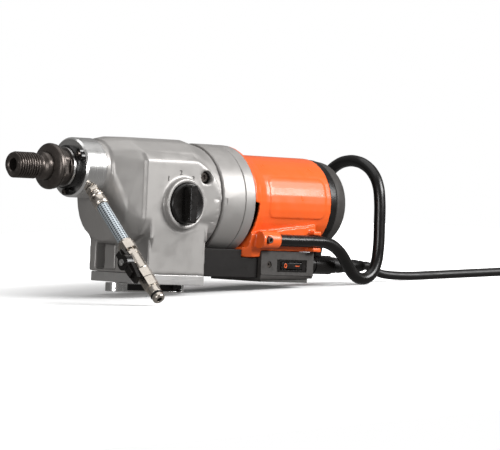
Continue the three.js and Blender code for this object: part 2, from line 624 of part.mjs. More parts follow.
// ---- electronics box under the motor ----
const flangeRoom = barX(255, SEAM_3 + 1, MOTOR_FLANGE_R + 0.8, MOTOR_Z, 0, 40);
piece(machine, "box_front_duct", cut(
  box(262, BOX_X[0] - GAP, -46, 46, 8, 43),
  flangeRoom,
  box(SEAM_3 - 0.5, BOX_X[0] + 5, -60, 60, 33, 60),
  box(266, BOX_X[0] - 4, -42, 42, 11, 60),
), "darkPlastic");
const RECESS = { x: [384, 434], z: [16.5, 32], y: -BOX_HALF_Y + 6 };
function makeBox() {
  const [x0, x1] = BOX_X;
  const [z0, z1] = BOX_Z;
  const corners = (x, y0, z) => [-y0, y0].map((y) => new THREE.Vector3(x, y, z));
  const body = skin(
    corners(x0, BOX_HALF_Y - 2, z0), corners(x1, BOX_HALF_Y - 2, z0 + 3),
    corners(x0, BOX_HALF_Y, z0 + 3), corners(x1, BOX_HALF_Y, z0 + 7),
    corners(x0, BOX_HALF_Y, z1), corners(x1, BOX_HALF_Y, z1),
  );
  const tray = box(x0 + 4, x1 - 6, -BOX_HALF_Y + 4, BOX_HALF_Y - 4, z0 - 2.6, z0 + 6);
  const ridge = box(x0 + 0.5, x1 - 0.5, -BOX_HALF_Y - 0.9, BOX_HALF_Y + 0.9, 12.4, 13.8);
  return cut(
    join(body, tray, ridge),
    box(x0 + 3, x1 - 3, -BOX_HALF_Y + 9, BOX_HALF_Y - 3, z0 + 3, z1 + 1),
    box(...RECESS.x, -BOX_HALF_Y - 3, RECESS.y, ...RECESS.z),
    box(393, 425, RECESS.y - 1, -BOX_HALF_Y + 12, 19.2, 29.3),
    barY(371, 25.3, -BOX_HALF_Y - 1, -BOX_HALF_Y + 6, 4, 16),
    barX(x1 - 8, x1 + 2, 8, GLAND.z, GLAND.y, 32),
  );
}
piece(machine, "electronics_box", makeBox(), "greyPlastic");
piece(machine, "box_screw", cut(
  barY(371, 25.3, -BOX_HALF_Y + 1.2, -BOX_HALF_Y + 5.6, 3.6, 16),
  barY(371, 25.3, -BOX_HALF_Y, -BOX_HALF_Y + 3, 1.7, 6),
), "black");
piece(machine, "switch_frame", cut(
  box(RECESS.x[0] + GAP, RECESS.x[1] - GAP, -BOX_HALF_Y + 1.2, RECESS.y - GAP,
    RECESS.z[0] + GAP, RECESS.z[1] - GAP),
  box(391, 427, -BOX_HALF_Y - 1, RECESS.y + 1, 19.2, 29.3),
), "black");
// Rocker: a shallow V that always has one end pressed in, here the front end.
const ROCKER = { x: 409, y: -BOX_HALF_Y + 4, z: 20.15, tilt: 6 };
const rockerShape = new THREE.Shape([
  new THREE.Vector2(-15.6, -4.3), new THREE.Vector2(0, -2.2), new THREE.Vector2(15.6, -4.3),
  new THREE.Vector2(15.6, -0.6), new THREE.Vector2(5, 3.4), new THREE.Vector2(-5, 3.4),
  new THREE.Vector2(-15.6, -0.6),
]);
const rockerMesh = new THREE.ExtrudeGeometry(rockerShape, { depth: 8.2, bevelEnabled: false });
rockerMesh.rotateZ(-THREE.MathUtils.degToRad(ROCKER.tilt));
rockerMesh.translate(ROCKER.x, ROCKER.y, ROCKER.z);
piece(machine, "switch_rocker", solid(rockerMesh), "black");
piece(machine, "control_board", box(363, 436, -38, 44, 14, 16), "board");

// ---- handle ----
function handlePoints() {
  const half = [
    [HANDLE_START_X, HANDLE_Z, HANDLE_Y], [410, HANDLE_Z, HANDLE_Y], [438, HANDLE_Z, HANDLE_Y],
    [462, 54.2, HANDLE_Y], [482, 43.5, HANDLE_Y], [497, 26.5, HANDLE_Y], [508, 15.5, HANDLE_Y],
    [521, HANDLE_LOW_Z, HANDLE_Y], [535, 15, HANDLE_Y], [545, 29, 59.5], [549.5, 50, 58.5],
    [HANDLE_REAR_X, 80, 57.5], [HANDLE_REAR_X, HANDLE_SIDE_TOP_Z, 56],
  ];
  const points = half.map(([x, z, y]) => [x, -y, z]);
  const rise = HANDLE_TOP_Z - HANDLE_SIDE_TOP_Z;
  const arch = 9;
  for (let i = 1; i < arch; i++) {
    const a = (i / arch) * Math.PI;
    points.push([HANDLE_REAR_X, -55 * Math.cos(a), HANDLE_SIDE_TOP_Z + rise * Math.sin(a) ** 0.9]);
  }
  half.reverse().forEach(([x, z, y]) => points.push([x, y, z]));
  return points;
}
piece(machine, "handle_tube", pipe(handlePoints(), HANDLE_R, 6, 62), "black");
[-1, 1].forEach((side) => {
  const head = side < 0
    ? [[-73.5, -66, 4, 16], [-75, -70, 2.2, 6]]
    : [[66, 73.5, 4, 16], [70, 75, 2.2, 6]];
  piece(machine, side < 0 ? "handle_bolt_near" : "handle_bolt_far",
    cut(...head.map((bar) => barY(HANDLE_BOLT_X, HANDLE_Z, ...bar))), "steelDark");
});

// ---- water hose with its ball valve, hanging from the collar ----
const hose = new THREE.Group();
hose.position.set(HOSE_X, 0, SPINDLE_Z);
hose.rotation.x = hoseDown - Math.PI;
machine.add(hose);
// In the hose's own frame +Y points away from the spindle axis.
function radial(profile, sides = 18) {
  const points = profile.map(([h, r]) => new THREE.Vector2(r, h));
  const closed = profile[0][1] === 0 && profile[profile.length - 1][1] === 0;
  if (!closed) points.push(points[0].clone());
  return solid(new THREE.LatheGeometry(points, sides));
}
function hexBar(h0, h1, r) {
  const made = new THREE.CylinderGeometry(r, r, h1 - h0, 6);
  made.translate(0, (h0 + h1) / 2, 0);
  return solid(made);
}
piece(hose, "hose_fitting", join(
  radial([[28.5, 2.6], [28.5, 5], [39, 5], [39, 2.6]]),
  cut(hexBar(37.2, 44, 8.6), radial([[30, 0], [30, 2.6], [50, 2.6], [50, 0]])),
  radial([[44, 2.6], [44, 6.6], [47, 6.6], [47, 4.3], [58, 4.3], [58, 2.6]]),
), "nickel");
piece(hose, "hose_ferrule", radial([
  [47.4, 4.6], [47.4, 8.6], [49, 9.3], [65.6, 9.3], [67, 8.7], [67, 4.6],
]), "nickel");
piece(hose, "water_hose", radial([
  [67.4, 3.4], [67.4, 7.6], [HOSE_END, 7.6], [HOSE_END, 3.4],
], 20), "braid");
// The nut, the valve and the nipple are measured from the end of the hose.
const valve = new THREE.Group();
valve.position.y = HOSE_END;
hose.add(valve);
piece(valve, "hose_nut", join(
  radial([[0.4, 3.4], [0.4, 8.7], [2.4, 9], [4, 9], [4, 3.4]]),
  cut(hexBar(3.9, 16, 11), radial([[-24, 0], [-24, 3.4], [32, 3.4], [32, 0]])),
), "nickel");
function roundX(r, length, x, sides = 12) {
  const made = new THREE.CylinderGeometry(r, r, length, sides);
  made.rotateZ(Math.PI / 2);
  made.translate(x, VALVE_H, 0);
  return solid(made);
}
function ballAt(r) {
  const made = new THREE.SphereGeometry(r, 12, 8);
  made.translate(0, VALVE_H, 0);
  return solid(made);
}
piece(valve, "valve_body", cut(
  join(
    radial([[16.4, 0], [16.4, 7.4], [21, 7.4], [21, 0]]),
    hexBar(20.9, 25, 10.4),
    radial([[24.9, 0], [24.9, 9.2], [48, 9.2], [50, 7.8], [50, 0]]),
    hexBar(49.9, 63, 10.4),
    box(-12, 0, VALVE_H - 5, VALVE_H + 5, -5.5, 5.5),
  ),
  radial([[2, 0], [2, 3.4], [72, 3.4], [72, 0]]),
  ballAt(6.9),
  roundX(2.9, 20, -12),
), "nickel");
const ballBore = radial([[12, 0], [12, 3.2], [62, 3.2], [62, 0]], 12);
piece(valve, "valve_ball", cut(join(ballAt(6.5), roundX(2.6, 13, -10.5)), ballBore), "polished");
// Lever: a round hub on the stem, a broad blade along the valve and a narrow grip on top of it.
function leverLayer(outline, depth) {
  const shape = new THREE.Shape(outline.map(([across, along]) => new THREE.Vector2(across, along)));
  const made = new THREE.ExtrudeGeometry(shape, { depth, bevelEnabled: false });
  made.rotateY(-Math.PI / 2);
  made.translate(-13.2, VALVE_H, 0);
  return solid(made);
}
piece(valve, "valve_lever", cut(
  join(
    roundX(9.6, 10, -17.6, 20),
    leverLayer([[-5.5, -18], [-7.5, -8], [-7.5, 12], [-5, 28], [5, 30], [7.5, 14], [7.5, -6],
      [5.5, -18]], 5),
    leverLayer([[-4, -16], [-4, 20], [4, 22], [4, -16]], 8.6),
  ),
  roundX(2.9, 30, -14),
), "black");
piece(valve, "lever_screw", cut(
  roundX(4, 2.4, -24.1, 16),
  box(-25.8, -24.6, VALVE_H - 3.2, VALVE_H + 3.2, -0.6, 0.6),
), "nickel");
const nippleBore = radial([[32, 0], [32, 3.4], [112, 3.4], [112, 0]]);
piece(valve, "hose_nipple", join(
  cut(hexBar(63.4, 77, 10), nippleBore),
  radial([[76.9, 3.4], [76.9, 7.6], [87, 7.6], [87, 6.2], [90, 6.2], [90, 7.4],
    [94.5, 7.4], [96, 6.4], [96, 3.4]]),
), "nickel");
piece(valve, "nipple_oring", radial([
  [87.3, 6.5], [87.3, 7.6], [87.9, 8.2], [89.1, 8.2], [89.7, 7.6], [89.7, 6.5],
]), "rubber");

// ---- speed knob ----
const knobDisc = barY(KNOB.x, KNOB.z, KNOB.y - 5.5, KNOB.y + 5, KNOB.r, 48);
const gripShape = new THREE.Shape([
  new THREE.Vector2(-6, -24), new THREE.Vector2(6, -24), new THREE.Vector2(6.6, 23),
  new THREE.Vector2(2.5, 25.5), new THREE.Vector2(-2.5, 25.5), new THREE.Vector2(-6.6, 23),
]);
const gripMesh = new THREE.ExtrudeGeometry(gripShape, { depth: 12, bevelEnabled: false });
gripMesh.rotateX(Math.PI / 2);
gripMesh.translate(KNOB.x, KNOB.y - 5, KNOB.z);
piece(machine, "speed_knob", join(
  knobDisc,
  solid(gripMesh).intersect(barY(KNOB.x, KNOB.z, -100, 0, 25.6, 48)),
  barY(KNOB.x, KNOB.z, KNOB.y + 4, -42, 5.9, 24),
), "black");
piece(machine, "housing_screw", cut(
  barY(SCREW_POCKET.x, SCREW_POCKET.z, -56.5, -52.3, 6, 16),
  barY(SCREW_POCKET.x, SCREW_POCKET.z, -60, -54.5, 3, 6),
), "steelDark");

// ---- mains cord: gland, boot, then a free cord that lies on the floor ----
piece(machine, "cable_gland", turned([
  [GLAND.x[0], CORD_R + GAP], [GLAND.x[0], GLAND.r], [454, GLAND.r], [454, GLAND.r - 1],
  [457, GLAND.r - 1], [457, GLAND.r], [GLAND.x[1] - 2, GLAND.r], [GLAND.x[1], GLAND.r - 1.5],
  [GLAND.x[1], CORD_R + GAP],
], GLAND.z, GLAND.y, 24), "black");
function bootProfile() {
  const x0 = GLAND.x[1] + GAP;
  const points = [[x0, CORD_R + GAP], [x0, 10.4]];
  const ribs = 4;
  const step = (BOOT_END - x0 - 4) / ribs;
  for (let i = 0; i < ribs; i++) {
    const r = 10.2 - (i / ribs) * 3.4;
    points.push([x0 + i * step + step * 0.6, r], [x0 + i * step + step * 0.62, r - 1]);
    points.push([x0 + (i + 0.98) * step, r - 1], [x0 + (i + 1) * step, r - 0.3]);
  }
  points.push([BOOT_END, 6.6], [BOOT_END, CORD_R + GAP]);
  return points;
}
piece(machine, "cable_boot", turned(bootProfile(), GLAND.z, GLAND.y, 16), "rubber");

// ---- stand the machine on the floor, its box centred on the origin ----
machine.rotation.y = THREE.MathUtils.degToRad(PITCH_DEG);
machine.updateMatrixWorld(true);
const bounds = new THREE.Box3().setFromObject(machine, true);
machine.position.set(
  -(bounds.min.x + bounds.max.x) / 2,
  -(bounds.min.y + bounds.max.y) / 2,
  -bounds.min.z,
);
machine.updateMatrixWorld(true);

const root = new THREE.Group();
root.name = "core_drill_motor";
root.add(machine);

// The cord leaves the boot, settles on the floor and runs back to its coil (floor frame, mm).
const bootEnd = new THREE.Vector3(BOOT_END + 0.4, GLAND.y, GLAND.z).applyMatrix4(machine.matrixWorld);
const along = new THREE.Vector3(1, 0, 0).transformDirection(machine.matrixWorld);
const CORD_Z = CORD_R + 0.2;
const CORD_ROUTE = [
  [288, 10, 10.5], [325, 5, 6.2], [372, -3, CORD_Z], [430, -14, CORD_Z],
  [500, -28, CORD_Z], [550, -36.6, CORD_Z], [593, -44.1, CORD_Z],
];
const start = [0, 10].map((d) => bootEnd.clone().addScaledVector(along, d).toArray());
piece(root, "mains_cord", pipe([...start, ...CORD_ROUTE], CORD_R, 4, 30), "rubber");

// The rest of its length lies in a round coil, six turns in two layers, with the plug beside it.
const COIL = { x: 655, y: 28, inner: 42, outer: 88.2, top: 22.6 };
const coilSection = [
  [0.2, COIL.inner + 3], [0.2, COIL.outer - 3], [3, COIL.outer], [COIL.top - 3, COIL.outer],
  [COIL.top, COIL.outer - 3], [COIL.top, COIL.inner + 3], [COIL.top - 3, COIL.inner],
  [3, COIL.inner],
].map(([h, r]) => new THREE.Vector2(r, h));
const coilMesh = new THREE.LatheGeometry([...coilSection, coilSection[0].clone()], 28);
coilMesh.rotateX(Math.PI / 2);
coilMesh.translate(COIL.x, COIL.y, 0);
piece(root, "cord_coil", solid(coilMesh), "rubber");

// The far end leaves the coil's upper layer in a widening turn and ends in the plug:
// strain relief, round body and two pins.
const PLUG = { x: COIL.x + 105, y: COIL.y + 5, z: 18.4, r: 18 };
const TAIL = { from: -110, r0: 80, z0: 16.9, start: 0.56, steps: 3 };
const tailPoints = Array.from({ length: TAIL.steps + 1 }, (_, i) => {
  const share = THREE.MathUtils.lerp(TAIL.start, 1, i / TAIL.steps);
  const a = THREE.MathUtils.degToRad(TAIL.from * (1 - share));
  const widening = THREE.MathUtils.smoothstep(share, 0, 1);
  const r = THREE.MathUtils.lerp(TAIL.r0, PLUG.x - COIL.x, widening);
  return [COIL.x + r * Math.cos(a), COIL.y + r * Math.sin(a),
    THREE.MathUtils.lerp(TAIL.z0, PLUG.z, share)];
});
tailPoints.push([PLUG.x, PLUG.y + 1, PLUG.z]);
const plugTurned = turned([
  [0, 0], [0, 7], [34, 9.5], [34, 13], [44, PLUG.r], [72, PLUG.r], [74, PLUG.r - 1.5], [74, 0],
], 0, 0, 24);
const pins = [-9.5, 9.5].map((y) => barX(73, 93, 2.4, 0, y, 12));
const plugMesh = geometryOf(join(plugTurned, ...pins));
plugMesh.rotateZ(Math.PI / 2);
plugMesh.translate(PLUG.x, PLUG.y, PLUG.z);
piece(root, "mains_plug",
  join(solid(plugMesh), solid(pipe(tailPoints, CORD_R, 4, 8))), "rubber");

export default root;
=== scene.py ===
# Looks of the core drill motor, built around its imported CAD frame.
# Lengths are metres, unless a name or comment says millimetres. "Machine" coordinates are the
# level ones in which the machine was drawn: millimetres, X = 0 at the spindle tip and growing
# towards the rear cap, Y = 0 on the middle plane, the speed knob on the -Y side.
import json
import math

import bmesh
import bpy
from mathutils import Matrix, Vector


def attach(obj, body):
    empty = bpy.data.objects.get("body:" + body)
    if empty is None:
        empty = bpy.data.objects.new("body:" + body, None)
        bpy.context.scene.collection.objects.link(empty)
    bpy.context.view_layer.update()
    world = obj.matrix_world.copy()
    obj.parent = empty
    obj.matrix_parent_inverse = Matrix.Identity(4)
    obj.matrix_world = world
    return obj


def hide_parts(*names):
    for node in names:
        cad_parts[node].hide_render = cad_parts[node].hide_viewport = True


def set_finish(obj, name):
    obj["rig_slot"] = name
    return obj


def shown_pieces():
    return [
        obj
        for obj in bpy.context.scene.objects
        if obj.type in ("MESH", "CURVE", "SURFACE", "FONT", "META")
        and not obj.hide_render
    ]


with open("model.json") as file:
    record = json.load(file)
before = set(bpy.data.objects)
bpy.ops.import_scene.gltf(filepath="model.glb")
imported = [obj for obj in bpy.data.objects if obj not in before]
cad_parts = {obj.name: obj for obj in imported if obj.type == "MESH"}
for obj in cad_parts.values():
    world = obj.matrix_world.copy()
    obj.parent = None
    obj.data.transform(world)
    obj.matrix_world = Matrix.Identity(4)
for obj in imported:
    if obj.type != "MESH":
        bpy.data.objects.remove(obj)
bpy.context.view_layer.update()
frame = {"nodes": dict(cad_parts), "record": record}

# ---- machine coordinates ----
SPINDLE_Z = 135
spin = next(j for j in frame["record"]["behaviour"]["joints"] if j["name"] == "spindle_spin")
machine_x = Vector(spin["axis"]).normalized()
machine_y = Vector((0, 1, 0))
machine_z = machine_x.cross(machine_y)
turned_to = Matrix((machine_x, machine_y, machine_z)).transposed().to_4x4()
spindle_origin = Vector(spin["pos_m"])
to_frame = (
    Matrix.Translation(spindle_origin - machine_z * SPINDLE_Z / 1000)
    @ turned_to
    @ Matrix.Scale(0.001, 4)
)
to_machine = to_frame.inverted()


def at(x, y, z):
    """A machine point in the frame."""
    return to_frame @ Vector((x, y, z))


def linked(name, data):
    """A new object in the scene."""
    made = bpy.data.objects.new(name, data)
    bpy.context.scene.collection.objects.link(made)
    return made


def evaluated_mesh(work):
    """The mesh that a work object makes; the work object is removed."""
    bpy.context.view_layer.update()
    graph = bpy.context.evaluated_depsgraph_get()
    mesh = bpy.data.meshes.new_from_object(work.evaluated_get(graph))
    bpy.data.objects.remove(work)
    return mesh


def set_map_range(node, from_low, from_high, to_low, to_high):
    for socket, number in zip(node.inputs[1:5], (from_low, from_high, to_low, to_high)):
        socket.default_value = number


# ---- camera ----
AZIMUTH = math.radians(-41)
ELEVATION = math.radians(2.92)
ROLL = math.radians(0.47)
DISTANCE = 4.79  # depth of the spindle tip
TIP_LEFT = 0.2841  # how far left of the view axis the spindle tip lies
TIP_ABOVE = 0.0750  # and how far above it
back = Vector((
    math.sin(AZIMUTH) * math.cos(ELEVATION),
    -math.cos(AZIMUTH) * math.cos(ELEVATION),
    math.sin(ELEVATION),
))
right = Vector((math.cos(AZIMUTH), math.sin(AZIMUTH), 0))
up = back.cross(right)
camera_data = bpy.data.cameras.new("camera")
camera_data.lens = 288
camera_data.sensor_width = 36
camera_data.clip_end = 100
camera = linked("camera", camera_data)
across = math.cos(ROLL) * right - math.sin(ROLL) * up
upward = math.sin(ROLL) * right + math.cos(ROLL) * up
stand = at(0, 0, SPINDLE_Z) + TIP_LEFT * right - TIP_ABOVE * up + DISTANCE * back
facing = Matrix((across, upward, back)).transposed().to_4x4()
camera.matrix_world = Matrix.Translation(stand) @ facing
bpy.context.scene.camera = camera


# ---- mains cord: out of its boot, down to the floor, into a round coil, then its plug ----
CORD_R = 0.0055
BOOT_TIP = (545.4, -34, 26.5)  # machine coordinates
CORD_ROUTE = [
    (0.288, 0.010, 0.0105), (0.325, 0.005, 0.0062), (0.372, -0.003, 0.0057),
    (0.430, -0.014, 0.0057), (0.500, -0.028, 0.0057), (0.550, -0.0366, 0.0057),
    (0.593, -0.0441, 0.0057),
]
COIL_CENTRE = Vector((0.655, 0.028, 0))
COIL_TURN = 0.01107  # from one turn to the next
COIL_OUTSIDE = 0.0826  # middle line of the outermost turn
LAYER_1 = CORD_R + 0.0002
LAYER_2 = LAYER_1 + 0.0112
PLUG = Vector((0.760, 0.033, 0.0184))
ENTRY_ANGLE = 0.66  # over which the cord bends into the outermost turn
LOW_TURNS = 3
HIGH_TURNS = 2.5  # at least; the cord goes on to the angle at which it leaves
CLIMB_ANGLE = math.radians(70)  # from the lower layer to the upper one
LEAVE_ANGLE = math.radians(-110)
COIL_STEP = 2 * math.pi / 16


def smooth(t):
    t = min(max(t, 0), 1)
    return t * t * (3 - 2 * t)


def polar(radius, angle, height):
    return COIL_CENTRE + Vector((radius * math.cos(angle), radius * math.sin(angle), height))


def catmull(points, per_span):
    """Points along the smooth curve through the given ones."""
    ends = [2 * points[0] - points[1], *points, 2 * points[-1] - points[-2]]
    out = []
    for i in range(1, len(ends) - 2):
        a, b, c, d = ends[i - 1:i + 3]
        for k in range(per_span):
            t = k / per_span
            out.append(0.5 * (
                2 * b + (c - a) * t + (2 * a - 5 * b + 4 * c - d) * t * t
                + (3 * b - a - 3 * c + d) * t ** 3
            ))
    out.append(points[-1])
    return out


def coil_points():
    """From the end of the route through the lower layer inwards and the upper layer outwards."""
    last, before = Vector(CORD_ROUTE[-1]), Vector(CORD_ROUTE[-2])
    arm = last - COIL_CENTRE
    arm.z = 0
    start_r, start_a = arm.length, math.atan2(arm.y, arm.x)
    way = last - before
    round_way = Vector((-arm.y, arm.x, 0)).normalized()
    start_slope = start_r * way.dot(arm.normalized()) / way.dot(round_way)
    spiral_slope = -COIL_TURN / (2 * math.pi)
    points = []
    for k in range(1, 5):
        t = k / 5
        h00, h10 = 2 * t ** 3 - 3 * t * t + 1, t ** 3 - 2 * t * t + t
        h01, h11 = -2 * t ** 3 + 3 * t * t, t ** 3 - t * t
        r = (h00 * start_r + h10 * ENTRY_ANGLE * start_slope
             + h01 * COIL_OUTSIDE + h11 * ENTRY_ANGLE * spiral_slope)
        points.append(polar(r, start_a + ENTRY_ANGLE * t, LAYER_1))
    low_start = start_a + ENTRY_ANGLE
    low_angle = LOW_TURNS * 2 * math.pi
    for k in range(round(low_angle / COIL_STEP) + 1):
        turned_by = k * COIL_STEP
        points.append(polar(COIL_OUTSIDE + spiral_slope * turned_by, low_start + turned_by,
                            LAYER_1))
    a, r = low_start + low_angle, COIL_OUTSIDE + spiral_slope * low_angle
    for k in range(1, 4):
        t = k / 3
        points.append(polar(r + spiral_slope * CLIMB_ANGLE * t, a + CLIMB_ANGLE * t,
                            LAYER_1 + (LAYER_2 - LAYER_1) * smooth(t)))
    a, r = a + CLIMB_ANGLE, r + spiral_slope * CLIMB_ANGLE
    whole_turns = math.ceil((a - LEAVE_ANGLE) / (2 * math.pi) + HIGH_TURNS)
    high_angle = LEAVE_ANGLE + 2 * math.pi * whole_turns - a
    count = round(high_angle / COIL_STEP)
    for k in range(1, count + 1):
        t = k / count
        points.append(polar(r - spiral_slope * high_angle * t, a + high_angle * t, LAYER_2))
    a, r = a + high_angle, r - spiral_slope * high_angle
    reach = (PLUG - COIL_CENTRE).x
    for k in range(1, 7):
        t = k / 6
        points.append(polar(r + (reach - r) * smooth(t), a - LEAVE_ANGLE * t,
                            LAYER_2 + (PLUG.z - LAYER_2) * t))
    points.append(PLUG + Vector((0, 0.004, 0)))
    return points


def curve_piece(name, points, radius, sides=6):
    """A round tube along a smooth spline through the points."""
    data = bpy.data.curves.new(name, "CURVE")
    data.dimensions = "3D"
    data.bevel_depth = radius
    data.bevel_resolution = sides
    data.use_fill_caps = True
    data.resolution_u = 4
    spline = data.splines.new("BEZIER")
    spline.bezier_points.add(len(points) - 1)
    for knot, point in zip(spline.bezier_points, points):
        knot.co = point
        knot.handle_left_type = knot.handle_right_type = "AUTO"
    mesh = evaluated_mesh(linked(name + "_work", data))
    mesh.shade_smooth()
    mesh.set_sharp_from_angle(angle=math.radians(60))
    return linked(name, mesh)


exit_point = at(*BOOT_TIP)
free_run = [exit_point, exit_point + 0.010 * machine_x, *map(Vector, CORD_ROUTE)]
cord_line = catmull(free_run, 3) + coil_points()
cord = curve_piece("mains_cord_line", cord_line, CORD_R)
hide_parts("mains_cord", "cord_coil")
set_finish(cord, "black_rubber")
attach(cord, "machine")


# ---- mesh helpers ----
def face_outwards(mesh, merge_within=None):
    """Turns every face outwards and, if asked to, merges doubled vertices first."""
    bm = bmesh.new()
    bm.from_mesh(mesh)
    if merge_within:
        bmesh.ops.remove_doubles(bm, verts=bm.verts, dist=merge_within)
    bmesh.ops.recalc_face_normals(bm, faces=bm.faces)
    bm.to_mesh(mesh)
    bm.free()


def finish_mesh(name, mesh, body, slot, replaces=(), sharp=32):
    """A piece from a mesh; edges that turn by more than sharp degrees stay sharp."""
    mesh.shade_smooth()
    if sharp:
        mesh.set_sharp_from_angle(angle=math.radians(sharp))
    made = linked(name, mesh)
    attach(made, body)
    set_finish(made, slot)
    if replaces:
        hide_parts(*replaces)
    return made


def from_rows(name, rows, body, slot, place=to_frame, caps=True, **rest):
    """A mesh from rows of points; each row is a ring, and rings are joined in order."""
    mesh = bpy.data.meshes.new(name)
    count = len(rows[0])
    points = [place @ Vector(p) for row in rows for p in row]
    faces, uvs = [], []
    for i in range(len(rows) - 1):
        this, following = i * count, (i + 1) * count
        for k in range(count):
            n = (k + 1) % count
            faces.append((this + k, this + n, following + n, following + k))
            u0, u1 = k / count, (k + 1) / count
            v0, v1 = i / (len(rows) - 1), (i + 1) / (len(rows) - 1)
            uvs += [(u0, v0), (u1, v0), (u1, v1), (u0, v1)]
    if caps:
        faces.append(tuple(reversed(range(count))))
        faces.append(tuple((len(rows) - 1) * count + k for k in range(count)))
        uvs += [(0, 0)] * (2 * count)
    mesh.from_pydata(points, [], faces)
    layer = mesh.uv_layers.new(name="UVMap")
    for loop, uv in zip(layer.data, uvs):
        loop.uv = uv
    face_outwards(mesh)
    return finish_mesh(name, mesh, body, slot, **rest)


def circle(sides):
    """The angles of a circle's points."""
    return [2 * math.pi * k / sides for k in range(sides)]


def axis_x(y0, z0):
    """Where a lathe's points lie: its axis runs along machine X through (y0, z0)."""
    return lambda a, u, v: (a, y0 + u, z0 + v)


def axis_y(x0, z0):
    """The same with the axis along machine Y."""
    return lambda a, u, v: (x0 + u, a, z0 + v)


def lathe(name, profile, where, body, slot, sides=48, **rest):
    """A solid of revolution from profile points (along, radius)."""
    rows = [[where(a, r * math.cos(t), r * math.sin(t)) for t in circle(sides)]
            for a, r in profile]
    return from_rows(name, rows, body, slot, **rest)


def loop_lathe(name, profile, where, body, slot, sides=48, **rest):
    """A ring: the profile closes on itself, so there is a bore."""
    return lathe(name, [*profile, profile[0]], where, body, slot, sides=sides, caps=False, **rest)


def bevel(made, width_mm, angle=30):
    """Rounds the edges that turn by more than an angle in degrees."""
    modifier = made.modifiers.new("edges", "BEVEL")
    modifier.width = width_mm / 1000
    modifier.segments = 2
    modifier.limit_method = "ANGLE"
    modifier.angle_limit = math.radians(angle)


def prism(name, outline, depth_from, depth_to, plane, body, slot, round_mm=0.4, **rest):
    """An outline drawn out between two depths; plane turns (u, v, depth) into machine mm."""
    mesh = bpy.data.meshes.new(name)
    count = len(outline)
    points = [to_frame @ Vector(plane(u, v, depth))
              for depth in (depth_from, depth_to) for u, v in outline]
    faces = [tuple(range(count)), tuple(range(2 * count - 1, count - 1, -1))]
    faces += [(k, k + count, (k + 1) % count + count, (k + 1) % count) for k in range(count)]
    mesh.from_pydata(points, [], faces)
    face_outwards(mesh)
    made = finish_mesh(name, mesh, body, slot, sharp=0, **rest)
    bevel(made, round_mm)
    soften(made)
    return made


def soften(made):
    """Smooth shading that keeps flat faces flat."""
    weighted = made.modifiers.new("shade", "WEIGHTED_NORMAL")
    weighted.weight = 80
    weighted.keep_sharp = False


def applied(source, name, *prepare):
    """A copy of a CAD node's mesh, merged, with the prepared modifiers worked into it."""
    copy = linked(name + "_work", source.data.copy())
    face_outwards(copy.data, merge_within=0.00001)
    for add in prepare:
        add(copy)
    mesh = evaluated_mesh(copy)
    mesh.name = name
    mesh.materials.clear()
    return mesh


def remeshed(voxel_mm, rounds, factor=0.5):
    """Turns the faceted solid into an evenly meshed one with softly rounded edges, as cast."""
    def add(made):
        remesh = made.modifiers.new("remesh", "REMESH")
        remesh.mode = "VOXEL"
        remesh.voxel_size = voxel_mm / 1000
        smoothing = made.modifiers.new("smooth", "SMOOTH")
        smoothing.factor = factor
        smoothing.iterations = rounds
    return add


def thinned(share):
    """Keeps a share of the faces, fewest where the surface is flat."""
    def add(made):
        modifier = made.modifiers.new("thin", "DECIMATE")
        modifier.ratio = share
    return add


# ---- materials ----
COAT_ROUGHNESS = 0.12
GRAIN_SHARE = 0.72  # the grain's colour as a share of the base colour
# Painted shade: in hollows, where Pointiness is low, the colour is darkened towards this share of
# itself
PAINTED_SHADE_SHARE = 0.35
PAINTED_SHADE_POINTED = (0.40, 0.49)  # range of Pointiness over which the painted shade in hollows fades out
EDGE_POINTED = (0.53, 0.62)  # range over which an edge begins to wear
NOISE_RANGE = (0.35, 0.65)  # the part of a coarse noise that is stretched over its whole effect
FINE_RANGE = (0.3, 0.7)  # the same for fine and drawn-out noise
ROUGH_SHARES = (0.8, 1.25)  # of the roughness, between which it wanders


